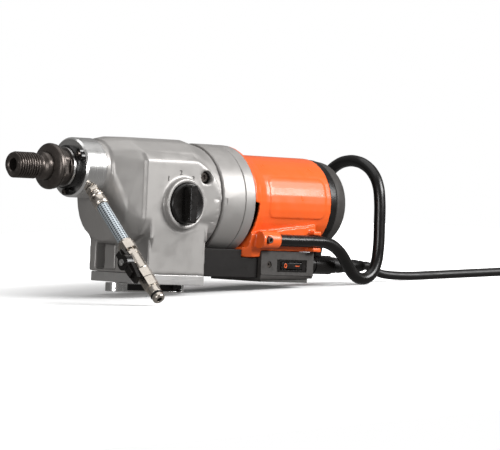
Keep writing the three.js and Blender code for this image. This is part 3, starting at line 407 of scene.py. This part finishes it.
def material(name, colour, roughness, metallic=0.0, coat=0.0, mottle=0.12, mottle_scale=60.0,
             grain_scale=1400.0, grain=0.15, grain_depth=0.00004, wear=0.0,
             wear_colour=(0.7, 0.68, 0.65), brushed=None, shade=0.25, specular=0.5):
    """A procedural finish: colour variation, fine grain in colour and bump, patchy roughness,
    painted shade that darkens hollows as strongly as shade asks and, where wear is above 0, rubbed
    edges. brushed is how finely the machining lines are spaced along each axis of the machine."""
    made = bpy.data.materials.new(name)
    made.use_nodes = True
    tree = made.node_tree
    nodes, links = tree.nodes, tree.links
    shader = nodes["Principled BSDF"]
    shader.inputs["Metallic"].default_value = metallic
    shader.inputs["Coat Weight"].default_value = coat
    shader.inputs["Coat Roughness"].default_value = COAT_ROUGHNESS
    shader.inputs["Specular IOR Level"].default_value = specular
    place = nodes.new("ShaderNodeTexCoord").outputs["Object"]

    def noise(scale, detail=3.0, rough=0.55, vector=place):
        made_node = nodes.new("ShaderNodeTexNoise")
        made_node.inputs["Scale"].default_value = scale
        made_node.inputs["Detail"].default_value = detail
        made_node.inputs["Roughness"].default_value = rough
        links.new(vector, made_node.inputs["Vector"])
        return made_node.outputs["Fac"]

    def mapped(value, low, high, to_low, to_high):
        made_node = nodes.new("ShaderNodeMapRange")
        set_map_range(made_node, low, high, to_low, to_high)
        links.new(value, made_node.inputs[0])
        return made_node.outputs[0]

    def mixed(factor, first, second):
        made_node = nodes.new("ShaderNodeMix")
        made_node.data_type = "RGBA"
        for value, socket in ((factor, made_node.inputs[0]), (first, made_node.inputs[6]),
                              (second, made_node.inputs[7])):
            if isinstance(value, bpy.types.NodeSocket):
                links.new(value, socket)
            elif isinstance(value, tuple):
                socket.default_value = (*value, 1)
            else:
                socket.default_value = value
        return made_node.outputs[2]

    dark = tuple(c * (1 - mottle) for c in colour)
    light = tuple(min(c * (1 + mottle), 1) for c in colour)
    tint = mixed(mapped(noise(mottle_scale, 4), *NOISE_RANGE, 0, 1), dark, light)
    fine = noise(grain_scale, 2)
    tint = mixed(mapped(fine, *FINE_RANGE, 0, grain), tint, tuple(c * GRAIN_SHARE for c in colour))
    pointed = nodes.new("ShaderNodeNewGeometry").outputs["Pointiness"]
    # Painted shade: the colour is darkened in hollows, where Pointiness is low, by up to shade
    painted_shade = mapped(pointed, *PAINTED_SHADE_POINTED, shade, 0)
    tint = mixed(painted_shade, tint, tuple(c * PAINTED_SHADE_SHARE for c in colour))
    if wear:
        edge = mapped(pointed, *EDGE_POINTED, 0, wear)
        patches = mapped(noise(190, 5, 0.7), 0.42, 0.6, 0, 1)
        both = nodes.new("ShaderNodeMath")
        both.operation = "MULTIPLY"
        links.new(edge, both.inputs[0])
        links.new(patches, both.inputs[1])
        tint = mixed(both.outputs[0], tint, wear_colour)
    links.new(tint, shader.inputs["Base Color"])
    lines = None
    if brushed is not None:
        stretch = nodes.new("ShaderNodeMapping")
        stretch.inputs["Rotation"].default_value = (0, math.asin(-machine_x.z), 0)
        stretch.inputs["Scale"].default_value = brushed
        links.new(place, stretch.inputs["Vector"])
        lines = noise(1.0, 3, 0.6, stretch.outputs["Vector"])
    rough_from = lines or noise(mottle_scale * 2.5, 3)
    smoothest, roughest = (min(roughness * share, 1) for share in ROUGH_SHARES)
    links.new(mapped(rough_from, *FINE_RANGE, smoothest, roughest), shader.inputs["Roughness"])
    bump = nodes.new("ShaderNodeBump")
    bump.inputs["Strength"].default_value = 0.6
    bump.inputs["Distance"].default_value = grain_depth
    links.new(lines or fine, bump.inputs["Height"])
    links.new(bump.outputs["Normal"], shader.inputs["Normal"])
    return made


ALONG = (40, 2600, 2600)  # lines along the machine
ROUND = (2600, 30, 30)  # turned lines: they run round the machine's axis
LOOKS = {  # what each finish takes besides the defaults of material()
    "cast_aluminium": dict(
        colour=(0.325, 0.313, 0.302), roughness=0.45, metallic=0.45, mottle=0.03,
        mottle_scale=20, grain_scale=1500, grain=0.10, grain_depth=0.00004, wear=0.08,
        shade=0.45,
    ),
    "plate_aluminium": dict(
        colour=(0.60, 0.59, 0.58), roughness=0.34, metallic=0.8, mottle=0.05, brushed=ALONG,
        wear=0.2,
    ),
    "polished_aluminium": dict(
        colour=(0.84, 0.835, 0.825), roughness=0.23, metallic=1.0, mottle=0.02, brushed=ROUND,
        grain_depth=0.000003, shade=0.1,
    ),
    "dark_steel": dict(
        colour=(0.085, 0.073, 0.066), roughness=0.36, metallic=0.85, mottle=0.22,
        mottle_scale=90, wear=0.6, wear_colour=(0.36, 0.33, 0.30), grain_depth=0.00003,
    ),
    "bright_steel": dict(
        colour=(0.55, 0.54, 0.53), roughness=0.3, metallic=1.0, mottle=0.08, brushed=ROUND,
    ),
    "nickel_fitting": dict(
        colour=(0.56, 0.51, 0.455), roughness=0.26, metallic=1.0, mottle=0.06, mottle_scale=120,
        grain_depth=0.00002, shade=0.5,
    ),
    "copper": dict(
        colour=(0.72, 0.36, 0.20), roughness=0.32, metallic=1.0, mottle=0.15, brushed=ROUND,
    ),
    "orange_shell": dict(
        colour=(0.76, 0.108, 0.014), roughness=0.34, coat=0.18, mottle=0.02, mottle_scale=25,
        grain_scale=1100, grain=0.03, grain_depth=0.00002, shade=0.18,
    ),
    "grey_plastic": dict(
        colour=(0.040, 0.0365, 0.034), roughness=0.45, mottle=0.08, grain_scale=2200, grain=0.2,
        grain_depth=0.00008, wear=0.15, wear_colour=(0.2, 0.19, 0.18),
    ),
    "dark_plastic": dict(
        colour=(0.0095, 0.0083, 0.0078), roughness=0.52, mottle=0.1, grain_scale=2200,
        grain=0.2, grain_depth=0.00005, specular=0.2,
    ),
    "black_plastic": dict(
        colour=(0.0075, 0.0065, 0.006), roughness=0.27, mottle=0.1, grain_scale=2000, grain=0.1,
        grain_depth=0.000002, wear=0.1, wear_colour=(0.04, 0.036, 0.034), specular=0.35,
    ),
    "black_paint": dict(
        colour=(0.0045, 0.0040, 0.0038), roughness=0.27, coat=0.05, mottle=0.08,
        mottle_scale=25, grain_scale=900, grain=0.0, grain_depth=0.000001, shade=0.0,
        specular=0.4,
    ),
    "black_rubber": dict(
        colour=(0.0060, 0.0054, 0.0052), roughness=0.42, mottle=0.12, mottle_scale=40,
        grain_scale=1600, grain=0.1, grain_depth=0.00001, shade=0.1, specular=0.35,
    ),
    "circuit_board": dict(
        colour=(0.03, 0.14, 0.06), roughness=0.5, mottle=0.2, grain_scale=800,
    ),
    "marking": dict(
        colour=(0.09, 0.085, 0.08), roughness=0.5, metallic=0.2, mottle=0.15, mottle_scale=400,
    ),
}
finishes = {name: material(name, **look) for name, look in LOOKS.items()}


STRANDS_ROUND = 6
STRANDS_ALONG = 10


def braid_material():
    """Woven steel wires under a clear sleeve: two sets of slanting strands, laid by the UVs."""
    made = bpy.data.materials.new("steel_braid")
    made.use_nodes = True
    nodes, links = made.node_tree.nodes, made.node_tree.links
    shader = nodes["Principled BSDF"]
    shader.inputs["Metallic"].default_value = 0.55
    shader.inputs["Roughness"].default_value = 0.3
    shader.inputs["Coat Weight"].default_value = 0.35
    split = nodes.new("ShaderNodeSeparateXYZ")
    links.new(nodes.new("ShaderNodeTexCoord").outputs["UV"], split.inputs[0])

    def math_node(operation, a, b=None, c=None):
        node = nodes.new("ShaderNodeMath")
        node.operation = operation
        for socket, value in zip(node.inputs, (a, b, c)):
            if isinstance(value, bpy.types.NodeSocket):
                links.new(value, socket)
            elif value is not None:
                socket.default_value = value
        return node.outputs[0]

    round_angle = math_node("MULTIPLY", split.outputs[0], 2 * math.pi * STRANDS_ROUND)
    along = math_node("MULTIPLY", split.outputs[1], 2 * math.pi * STRANDS_ALONG)
    one = math_node("SINE", math_node("ADD", round_angle, along))
    other = math_node("SINE", math_node("SUBTRACT", round_angle, along))
    weave = math_node("MULTIPLY", one, other)
    height = math_node("MULTIPLY_ADD", weave, 0.5, 0.5)
    ramp = nodes.new("ShaderNodeValToRGB")
    gap, wire = ramp.color_ramp.elements
    gap.position, gap.color = 0.30, (0.02, 0.03, 0.04, 1)
    wire.position, wire.color = 0.5, (0.56, 0.62, 0.66, 1)
    links.new(height, ramp.inputs[0])
    links.new(ramp.outputs[0], shader.inputs["Base Color"])
    bump = nodes.new("ShaderNodeBump")
    bump.inputs["Strength"].default_value = 0.5
    bump.inputs["Distance"].default_value = 0.0003
    links.new(height, bump.inputs["Height"])
    links.new(bump.outputs["Normal"], shader.inputs["Normal"])
    return made


finishes["steel_braid"] = braid_material()


def paint(made, finish):
    made.data.materials.clear()
    made.data.materials.append(finishes[finish])


# ---- castings and shells: the CAD solids with soft, cast edges ----
def shape(made, move):
    """Moves each vertex by a function of its machine coordinates."""
    for vertex in made.data.vertices:
        vertex.co = to_frame @ move(to_machine @ vertex.co)


def curve_height(knots, x):
    """The height of a line through (x, z) knots at x."""
    if x <= knots[0][0]:
        return knots[0][1]
    for (x0, z0), (x1, z1) in zip(knots, knots[1:]):
        if x <= x1:
            return z0 + (z1 - z0) * (x - x0) / (x1 - x0)
    return knots[-1][1]


SWOOSH = [(160, 158), (174, 157.5), (208, 156.5), (222, 155), (235, 153), (245, 149.5), (253, 145),
          (259, 140), (264, 134.5), (268, 127), (272, 116), (275, 100)]
PANEL_RISE = 3.4  # how far the side panel stands out
PANEL_FRONT, PANEL_REAR = 156, 276
PANEL_FOOT = 52  # below it the housing's side stays as it is
PANEL_SIDE = 44  # how far out the housing's side begins to follow


def side_panel(point):
    """The raised panel round the knob: it ends along a curve that sweeps down to the rear."""
    x, y, z = point
    if abs(y) < PANEL_SIDE or x < PANEL_FRONT or z < PANEL_FOOT:
        return point
    below = smooth((curve_height(SWOOSH, x) - z) / 4.5 + 0.5)
    behind_front = smooth((x - PANEL_FRONT - 2) / 4)
    before_rear = smooth((PANEL_REAR - x) / 5)
    on_side = smooth((abs(y) - PANEL_SIDE) / 8)
    outwards = PANEL_RISE * below * behind_front * before_rear * on_side
    return Vector((x, y + math.copysign(outwards, y), z))


housing = finish_mesh(
    "housing_casting",
    applied(frame["nodes"]["gear_housing"], "housing_casting", remeshed(1.3, 9), thinned(0.4)),
    "machine", "cast_aluminium", ("gear_housing",), sharp=50)
shape(housing, side_panel)

finish_mesh(
    "motor_shell",
    applied(frame["nodes"]["motor_housing"], "motor_shell", remeshed(1.1, 5), thinned(0.35)),
    "machine", "orange_shell", ("motor_housing",), sharp=50)


# ---- spindle with its helical thread ----
THREAD_R = 15.875
THREAD_DEPTH = 2.0
PITCH = 3.63
THREAD_END = 35.5
BORE = 7.5
SPINDLE_R = 21.5
FLAT_HALF = 18.5  # half the width across the two spanner flats
THREAD_STEPS = 120


def spindle_rows(sides=64):
    """Rings from the bore out over the nose, along the thread and back to the rear end."""
    rows = []

    def ring(x, r):
        rows.append([(x, r * math.cos(a), SPINDLE_Z + r * math.sin(a)) for a in circle(sides)])

    for x, r in ((60, 0.4), (60, BORE), (1.4, BORE), (0.0, BORE + 1.4), (0.0, THREAD_R - 3.4)):
        ring(x, r)
    for i in range(THREAD_STEPS + 1):
        x = 0.5 + i * (THREAD_END - 0.5) / THREAD_STEPS
        row = []
        for k, a in enumerate(circle(sides)):
            phase = (x / PITCH - k / sides) % 1
            tooth = smooth(abs(2 * phase - 1) * 1.7 - 0.35)
            fade = smooth((THREAD_END - x) / 3.5)
            lead = smooth((x - 0.2) / 2.4)
            r = THREAD_R - THREAD_DEPTH * (1 - tooth * fade) - 1.4 * (1 - lead)
            row.append((x, r * math.cos(a), SPINDLE_Z + r * math.sin(a)))
        rows.append(row)
    for x, r in ((37, 13.2), (37.6, 13.0), (40, 13.0), (40.6, 13.4), (42.4, 16.4), (43.2, 17),
                 (50, 17), (63.4, 17.1), (63.6, 20.9), (64.2, SPINDLE_R)):
        ring(x, r)
    for x in (64.4, 73.2):
        rows.append([
            (x, max(min(SPINDLE_R * math.cos(a), FLAT_HALF), -FLAT_HALF),
             SPINDLE_Z + SPINDLE_R * math.sin(a))
            for a in circle(sides)
        ])
    for x, r in ((73.8, SPINDLE_R), (75.4, SPINDLE_R), (118, SPINDLE_R), (118.2, 17), (139, 17),
                 (139, 19), (146, 19), (146, 14.5), (262.5, 14.5), (262.5, 7.5), (276, 7.5),
                 (276.4, 0.4)):
        ring(x, r)
    return rows


from_rows("spindle_turned", spindle_rows(), "spindle_unit", "dark_steel",
          replaces=("spindle",), sharp=40)
loop_lathe("flange_ring_turned", [
    (50.6, 17.3), (50.6, 19.6), (51.0, 20.4), (52.6, 25.4), (53.6, 27.0), (54.6, 27.8), (55.4, 28),
    (57.8, 28), (58.3, 27.6), (58.6, 26.5), (59.1, 26.5), (59.5, 27.2), (61.4, 27.3), (62.2, 26.8),
    (62.6, 25.2), (62.7, 23.4), (62.2, 22.8), (62.2, 21.9), (62.9, 21.4), (62.9, 17.3),
], axis_x(0, SPINDLE_Z), "spindle_unit", "dark_steel", sides=72,
    replaces=("spindle_flange_ring",), sharp=38)

# ---- water hose, in its own frame: Y away from the spindle axis ----
HOSE_X = 102
HOSE_DOWN = math.radians(43)
HOSE_START, HOSE_END = 67.4, 128.0
HOSE_R = 7.45
HOSE_WAVE = 0.1  # the sleeve's unevenness
hose_place = (
    to_frame
    @ Matrix.Translation((HOSE_X, 0, SPINDLE_Z))
    @ Matrix.Rotation(HOSE_DOWN - math.pi, 4, "X")
)


def hose_axis(h, u, v):
    return (u, h, v)


lathe("hose_braid", [
    (HOSE_START + i * (HOSE_END - HOSE_START) / 39, HOSE_R + HOSE_WAVE * math.sin(i * 1.9))
    for i in range(40)
], hose_axis, "machine", "steel_braid", sides=40, place=hose_place, replaces=("water_hose",))
loop_lathe("hose_ferrule_crimped", [
    (47.5, 4.7), (47.5, 8.2), (48.2, 8.9), (49.4, 9.2), (51.5, 9.2), (52.3, 8.7), (53.1, 9.2),
    (63.2, 9.2), (64.0, 8.7), (64.8, 9.3), (65.8, 9.3), (66.6, 8.9), (66.9, 8.2), (66.9, 4.7),
], hose_axis, "machine", "nickel_fitting", sides=40, place=hose_place,
    replaces=("hose_ferrule",), sharp=50)
loop_lathe("oring", [
    (HOSE_END + 88.5 - 1.05 * math.cos(t), 7.2 + 0.95 * math.sin(t)) for t in circle(12)
], hose_axis, "machine", "black_rubber", sides=36, place=hose_place,
    replaces=("nipple_oring",), sharp=0)

# ---- handle: one bent tube, its two halves joined by an arch ----
HANDLE_R = 0.0075
ARCH_X, ARCH_Z = 550.5, 112
ARCH_HALF_WIDTH, ARCH_RISE = 55, 49
HANDLE_HALF = [  # machine X, Z and distance from the middle plane
    (362, 56, 60), (386, 56, 60), (410, 56, 60), (438, 56, 60), (462, 54.2, 60), (482, 43.5, 60),
    (497, 26.5, 60), (508, 15.5, 60), (521, 11, 60), (535, 15, 60), (545, 29, 59.5),
    (549.5, 50, 58.5), (550.5, 80, 57.5), (550.5, 112, 56),
]
handle_line = [at(x, -y, z) for x, z, y in HANDLE_HALF]
for i in range(1, 9):
    turn = i / 9 * math.pi
    handle_line.append(at(ARCH_X, -ARCH_HALF_WIDTH * math.cos(turn),
                          ARCH_Z + ARCH_RISE * math.sin(turn) ** 0.9))
handle_line += [at(x, y, z) for x, z, y in reversed(HANDLE_HALF)]
handle = curve_piece("handle_bar", handle_line, HANDLE_R, 8)
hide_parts("handle_tube")
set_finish(handle, "black_paint")
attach(handle, "machine")

# ---- speed knob: a dished disc with a finger bar across it ----
KNOB_X, KNOB_Y, KNOB_Z = 219, -65.5, 96.6
lathe("knob_disc", [
    (KNOB_Y + 5, 0.3), (KNOB_Y + 5, 22), (KNOB_Y + 4.6, 24.4), (KNOB_Y + 3.6, 25),
    (KNOB_Y - 3.0, 25), (KNOB_Y - 4.6, 24.3), (KNOB_Y - 5.4, 22.8), (KNOB_Y - 4.9, 21.2),
    (KNOB_Y - 4.5, 10), (KNOB_Y - 4.5, 0.3),
], axis_y(KNOB_X, KNOB_Z), "speed_knob", "black_plastic", sides=64,
    replaces=("speed_knob",), sharp=45)
BAR_FOOT, BAR_HEIGHT = 4.2, 12.6
BAR_OUTLINE = [(-6.0, -22.6), (-3.0, -24.0), (3.0, -24.0), (6.0, -22.6), (6.6, 21.5), (4.4, 23.9),
               (0, 25.2), (-4.4, 23.9), (-6.6, 21.5)]


def bar_plane(u, v, d):
    """The finger bar narrows a little from its foot, d = 0, to its top, d = 1."""
    return (KNOB_X + u * (1 - 0.16 * d), KNOB_Y - BAR_FOOT - BAR_HEIGHT * d,
            KNOB_Z + v * (1 - 0.03 * d))


prism("knob_bar", BAR_OUTLINE, 0, 1, bar_plane, "speed_knob", "black_plastic", round_mm=1.6)

# ---- rocker switch with its plain O and I marks ----
ROCKER_X, ROCKER_Y, ROCKER_TILT = 409, -48, math.radians(6)
ROCKER_BOTTOM, ROCKER_TOP = 20.15, 28.35
ROCKER_MIDDLE = (ROCKER_BOTTOM + ROCKER_TOP) / 2
ROCKER_OUTLINE = [(-15.6, -4.3), (-11, -3.5), (-6, -2.7), (-2, -2.3), (2, -2.3), (6, -2.7),
                  (11, -3.5), (15.6, -4.3), (15.6, -0.6), (5, 3.4), (-5, 3.4), (-15.6, -0.6)]
FACE_DIP = -2.3  # the outer face at the rocker's middle
FACE_SLOPE = 0.147  # its rise towards both ends
MARK_SUNK, RING_LIFT, LINE_LIFT = -0.1, 0.22, 0.25


def rocker_plane(u, v, d):
    """u along the rocker, v outwards from its pivot, d in height."""
    x = u * math.cos(ROCKER_TILT) + v * math.sin(ROCKER_TILT)
    y = -u * math.sin(ROCKER_TILT) + v * math.cos(ROCKER_TILT)
    return ROCKER_X + x, ROCKER_Y + y, d


prism("rocker_cap", ROCKER_OUTLINE, ROCKER_BOTTOM, ROCKER_TOP, rocker_plane,
      "switch_rocker", "black_plastic", round_mm=0.7, replaces=("switch_rocker",))


def rocker_face(u, v, lift):
    """A point on the outer face of the rocker: u along it, v its height."""
    face = FACE_DIP - max(abs(u) - 2, 0) * FACE_SLOPE
    return rocker_plane(u, face - lift, v)


ring_rows = [[
    rocker_face(-9 + r * math.cos(turn), ROCKER_MIDDLE + 1.25 * r * math.sin(turn), lift)
    for r, lift in ((1.5, MARK_SUNK), (1.5, RING_LIFT), (2.4, RING_LIFT), (2.4, MARK_SUNK))
] for turn in circle(24)]
from_rows("mark_off", [*ring_rows, ring_rows[0]], "switch_rocker", "orange_shell",
          caps=False, sharp=0)
prism("mark_on", [(6.5, 23.75), (12, 23.75), (12, 24.85), (6.5, 24.85)], MARK_SUNK, LINE_LIFT,
      rocker_face, "switch_rocker", "orange_shell", round_mm=0.1)


# ---- numbers 1, 2 and 3 round the knob ----
NUMERAL_MM = 8.5
NUMERAL_Y = -57 - PANEL_RISE - 0.1


def numeral(digit, x, z):
    data = bpy.data.curves.new("numeral_work", "FONT")
    data.body = str(digit)
    data.size = NUMERAL_MM
    data.extrude = 0.3
    data.offset = 0.12
    data.align_x = data.align_y = "CENTER"
    mesh = evaluated_mesh(linked("numeral_work", data))
    upright = Matrix.Translation((x, NUMERAL_Y, z)) @ Matrix.Rotation(math.pi / 2, 4, "X")
    mesh.transform(to_frame @ upright)
    paint(finish_mesh(f"numeral_{digit}", mesh, "machine", "cast_aluminium"), "marking")


for digit, x, z in ((1, 194.5, 126.5), (2, 213.9, 134.2), (3, 233.8, 127.5)):
    numeral(digit, x, z)

# ---- plug: round body with finger ribs, ribbed strain relief and two pins ----
plug_place = (
    Matrix.Translation(PLUG) @ Matrix.Rotation(math.pi / 2, 4, "Z") @ Matrix.Scale(0.001, 4)
)
relief = []
for i in range(7):
    x = 0.5 + i * 4.8
    r = 7 + i * 0.4
    relief += [(x, r - 1), (x + 0.5, r), (x + 2.6, r), (x + 3.1, r - 1)]
plug = lathe("plug_body", [
    (0.2, 0.3), (0.3, 5.8), *relief, (34, 9.4), (34.4, 12), (36, 13.6), (40, 15.6), (44, 17.2),
    (47, 17.9), (50, 17.9), (52, 17.0), (54, 17.9), (56, 17.0), (58, 17.9), (60, 17.0), (62, 17.9),
    (71, 18), (73, 17.4), (74, 16), (74, 0.3),
], axis_x(0, 0), "machine", "black_rubber", place=plug_place, replaces=("mains_plug",), sharp=50)
for number, y in ((1, -9.5), (2, 9.5)):
    lathe(f"plug_pin_{number}", [
        (73.4, 0.2), (73.4, 2.0), (84, 2.0), (84.2, 2.4), (92, 2.4), (92.8, 1.6), (93, 0.2),
    ], axis_x(y, 0), "machine", "nickel_fitting", sides=24, place=plug_place, sharp=50)

# ---- tie round the coil: a flat strap, in millimetres from the coil's middle ----
TIE_ANGLE = math.radians(150)
TIE_INSIDE, TIE_OUTSIDE = 41.4, COIL_OUTSIDE * 1000 + 6.2
TIE_BOTTOM, TIE_TOP = 0.15, 23.4
TIE_HALF_WIDTH, TIE_THICK = 6, 1.1
tie_rows = []
tie_section = [(TIE_INSIDE, TIE_BOTTOM), (TIE_INSIDE, TIE_TOP), (TIE_OUTSIDE, TIE_TOP),
               (TIE_OUTSIDE, TIE_BOTTOM)]
tie_middle = Vector((sum(r for r, _ in tie_section) / 4, sum(z for _, z in tie_section) / 4))


def rounded(corners, radius, steps=4):
    """The outline with round corners."""
    out = []
    count = len(corners)
    for i in range(count):
        here = Vector(corners[i])
        before, after = Vector(corners[i - 1]), Vector(corners[(i + 1) % count])
        a = here + (before - here).normalized() * radius
        b = here + (after - here).normalized() * radius
        for k in range(steps + 1):
            t = k / steps
            out.append((1 - t) ** 2 * a + 2 * t * (1 - t) * here + t * t * b)
    return out


for point in rounded(tie_section, 5):
    outward = (point - tie_middle).normalized()
    row = []
    for width, thick in ((-TIE_HALF_WIDTH, 0), (-TIE_HALF_WIDTH, TIE_THICK),
                         (TIE_HALF_WIDTH, TIE_THICK), (TIE_HALF_WIDTH, 0)):
        r, z = point.x + outward.x * thick, max(point.y + outward.y * thick, 0.1)
        side = width / 1000
        row.append((
            COIL_CENTRE.x + r / 1000 * math.cos(TIE_ANGLE) - side * math.sin(TIE_ANGLE),
            COIL_CENTRE.y + r / 1000 * math.sin(TIE_ANGLE) + side * math.cos(TIE_ANGLE),
            z / 1000,
        ))
    tie_rows.append(row)
tie = from_rows("cord_tie", [*tie_rows, tie_rows[0]], "machine", "black_rubber",
                place=Matrix.Identity(4), caps=False, sharp=40)

# ---- finishes for every piece, and soft edges for the CAD solids that stay ----
EDGE_MM = {
    "motor_flange": 0.9, "flange_end_ring": 0.8, "mounting_plate": 0.6, "mounting_foot": 0.6,
    "electronics_box": 1.2, "box_front_duct": 1.0, "cap_band": 0.5, "rear_cap": 0.9,
    "valve_lever": 1.0, "water_collar": 0.7, "seal_retainer": 0.5, "switch_frame": 0.4,
    "foot_latch": 0.4, "foot_grip_strip": 0.4, "cable_boot": 0.4,
}
for row in frame["record"]["subparts"]:
    node = frame["nodes"][row["node"]]
    paint(node, row["material_slot"])
    if node.hide_render:
        continue
    merge = node.modifiers.new("merge", "WELD")
    merge.merge_threshold = 0.00002
    flatten = node.modifiers.new("flats", "DECIMATE")
    flatten.decimate_type = "DISSOLVE"
    flatten.angle_limit = math.radians(0.6)
    bevel(node, EDGE_MM.get(row["node"], 0.3), 28)
    soften(node)
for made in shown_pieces():
    if made.type == "MESH" and not made.data.materials:
        paint(made, made["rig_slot"])

# ---- floor: white, and glowing more with distance, so that it fades into the backdrop ----
FLOOR_HALF = 1.3
GLOW_FROM, GLOW_FULL = 0.19, 0.46  # distances from the origin
GLOW_LEAST, GLOW_MOST = 0.05, 0.9
floor_mesh = bpy.data.meshes.new("floor")
floor_mesh.from_pydata(
    [(x * FLOOR_HALF, y * FLOOR_HALF, 0) for x, y in ((-1, -1), (1, -1), (1, 1), (-1, 1))],
    [], [(0, 1, 2, 3)])
floor = linked("floor", floor_mesh)
floor_finish = bpy.data.materials.new("floor")
floor_finish.use_nodes = True
floor_shader = floor_finish.node_tree.nodes["Principled BSDF"]
floor_shader.inputs["Base Color"].default_value = (0.93, 0.93, 0.93, 1)
floor_shader.inputs["Roughness"].default_value = 0.9
floor_shader.inputs["Specular IOR Level"].default_value = 0.1
floor_shader.inputs["Emission Color"].default_value = (1, 1, 1, 1)
floor_nodes, floor_links = floor_finish.node_tree.nodes, floor_finish.node_tree.links
away = floor_nodes.new("ShaderNodeVectorMath")
away.operation = "LENGTH"
floor_links.new(floor_nodes.new("ShaderNodeTexCoord").outputs["Object"], away.inputs[0])
glow = floor_nodes.new("ShaderNodeMapRange")
set_map_range(glow, GLOW_FROM, GLOW_FULL, GLOW_LEAST, GLOW_MOST)
floor_links.new(away.outputs["Value"], glow.inputs["Value"])
floor_links.new(glow.outputs["Result"], floor_shader.inputs["Emission Strength"])
floor_mesh.materials.append(floor_finish)
floor.visible_diffuse = False
floor.visible_glossy = False

# ---- world: a soft grey gradient for the light, plain white where the camera looks past all ----
BACKDROP = (1, 1, 1, 1)
world = bpy.data.worlds.new("world")
bpy.context.scene.world = world
world.use_nodes = True
sky_nodes, sky_links = world.node_tree.nodes, world.node_tree.links
sky = sky_nodes["Background"]
sky.inputs["Strength"].default_value = 1.0
heights = sky_nodes.new("ShaderNodeSeparateXYZ")
sky_links.new(sky_nodes.new("ShaderNodeTexCoord").outputs["Generated"], heights.inputs[0])
share_of_height = sky_nodes.new("ShaderNodeMapRange")  # 0 straight down, 1 straight up
set_map_range(share_of_height, -1, 1, 0, 1)
sky_links.new(heights.outputs[2], share_of_height.inputs["Value"])
gradient = sky_nodes.new("ShaderNodeValToRGB")
tones = gradient.color_ramp.elements
tones[0].position, tones[0].color = 0.0, (0.30, 0.295, 0.29, 1)
tones[1].position, tones[1].color = 1.0, (0.25, 0.25, 0.25, 1)
for position, grey in ((0.40, 0.20), (0.52, 0.11), (0.66, 0.25)):
    tones.new(position).color = (grey, grey * 0.985, grey * 0.97, 1)
sky_links.new(share_of_height.outputs["Result"], gradient.inputs[0])
backdrop = sky_nodes.new("ShaderNodeMix")
backdrop.data_type = "RGBA"
sky_links.new(sky_nodes.new("ShaderNodeLightPath").outputs["Is Camera Ray"], backdrop.inputs[0])
sky_links.new(gradient.outputs[0], backdrop.inputs[6])
backdrop.inputs[7].default_value = BACKDROP
sky_links.new(backdrop.outputs[2], sky.inputs["Color"])


# ---- studio lights ----
def area_light(name, place, aim, width, height, watts):
    data = bpy.data.lights.new(name, "AREA")
    data.shape = "RECTANGLE"
    data.size = width
    data.size_y = height
    data.energy = watts
    made = linked(name, data)
    made.location = place
    made.rotation_euler = (Vector(aim) - Vector(place)).to_track_quat("-Z", "Y").to_euler()


area_light("key", (1.05, -1.65, 1.05), (0, 0, 0.1), 1.3, 0.9, 74)
area_light("top", (0.1, 0.1, 1.9), (0.1, 0.1, 0), 2.4, 1.8, 17)
area_light("front_left", (-1.6, -0.8, 0.3), (-0.1, 0, 0.08), 0.7, 0.5, 12)

bpy.context.scene.view_settings.view_transform = "Standard"
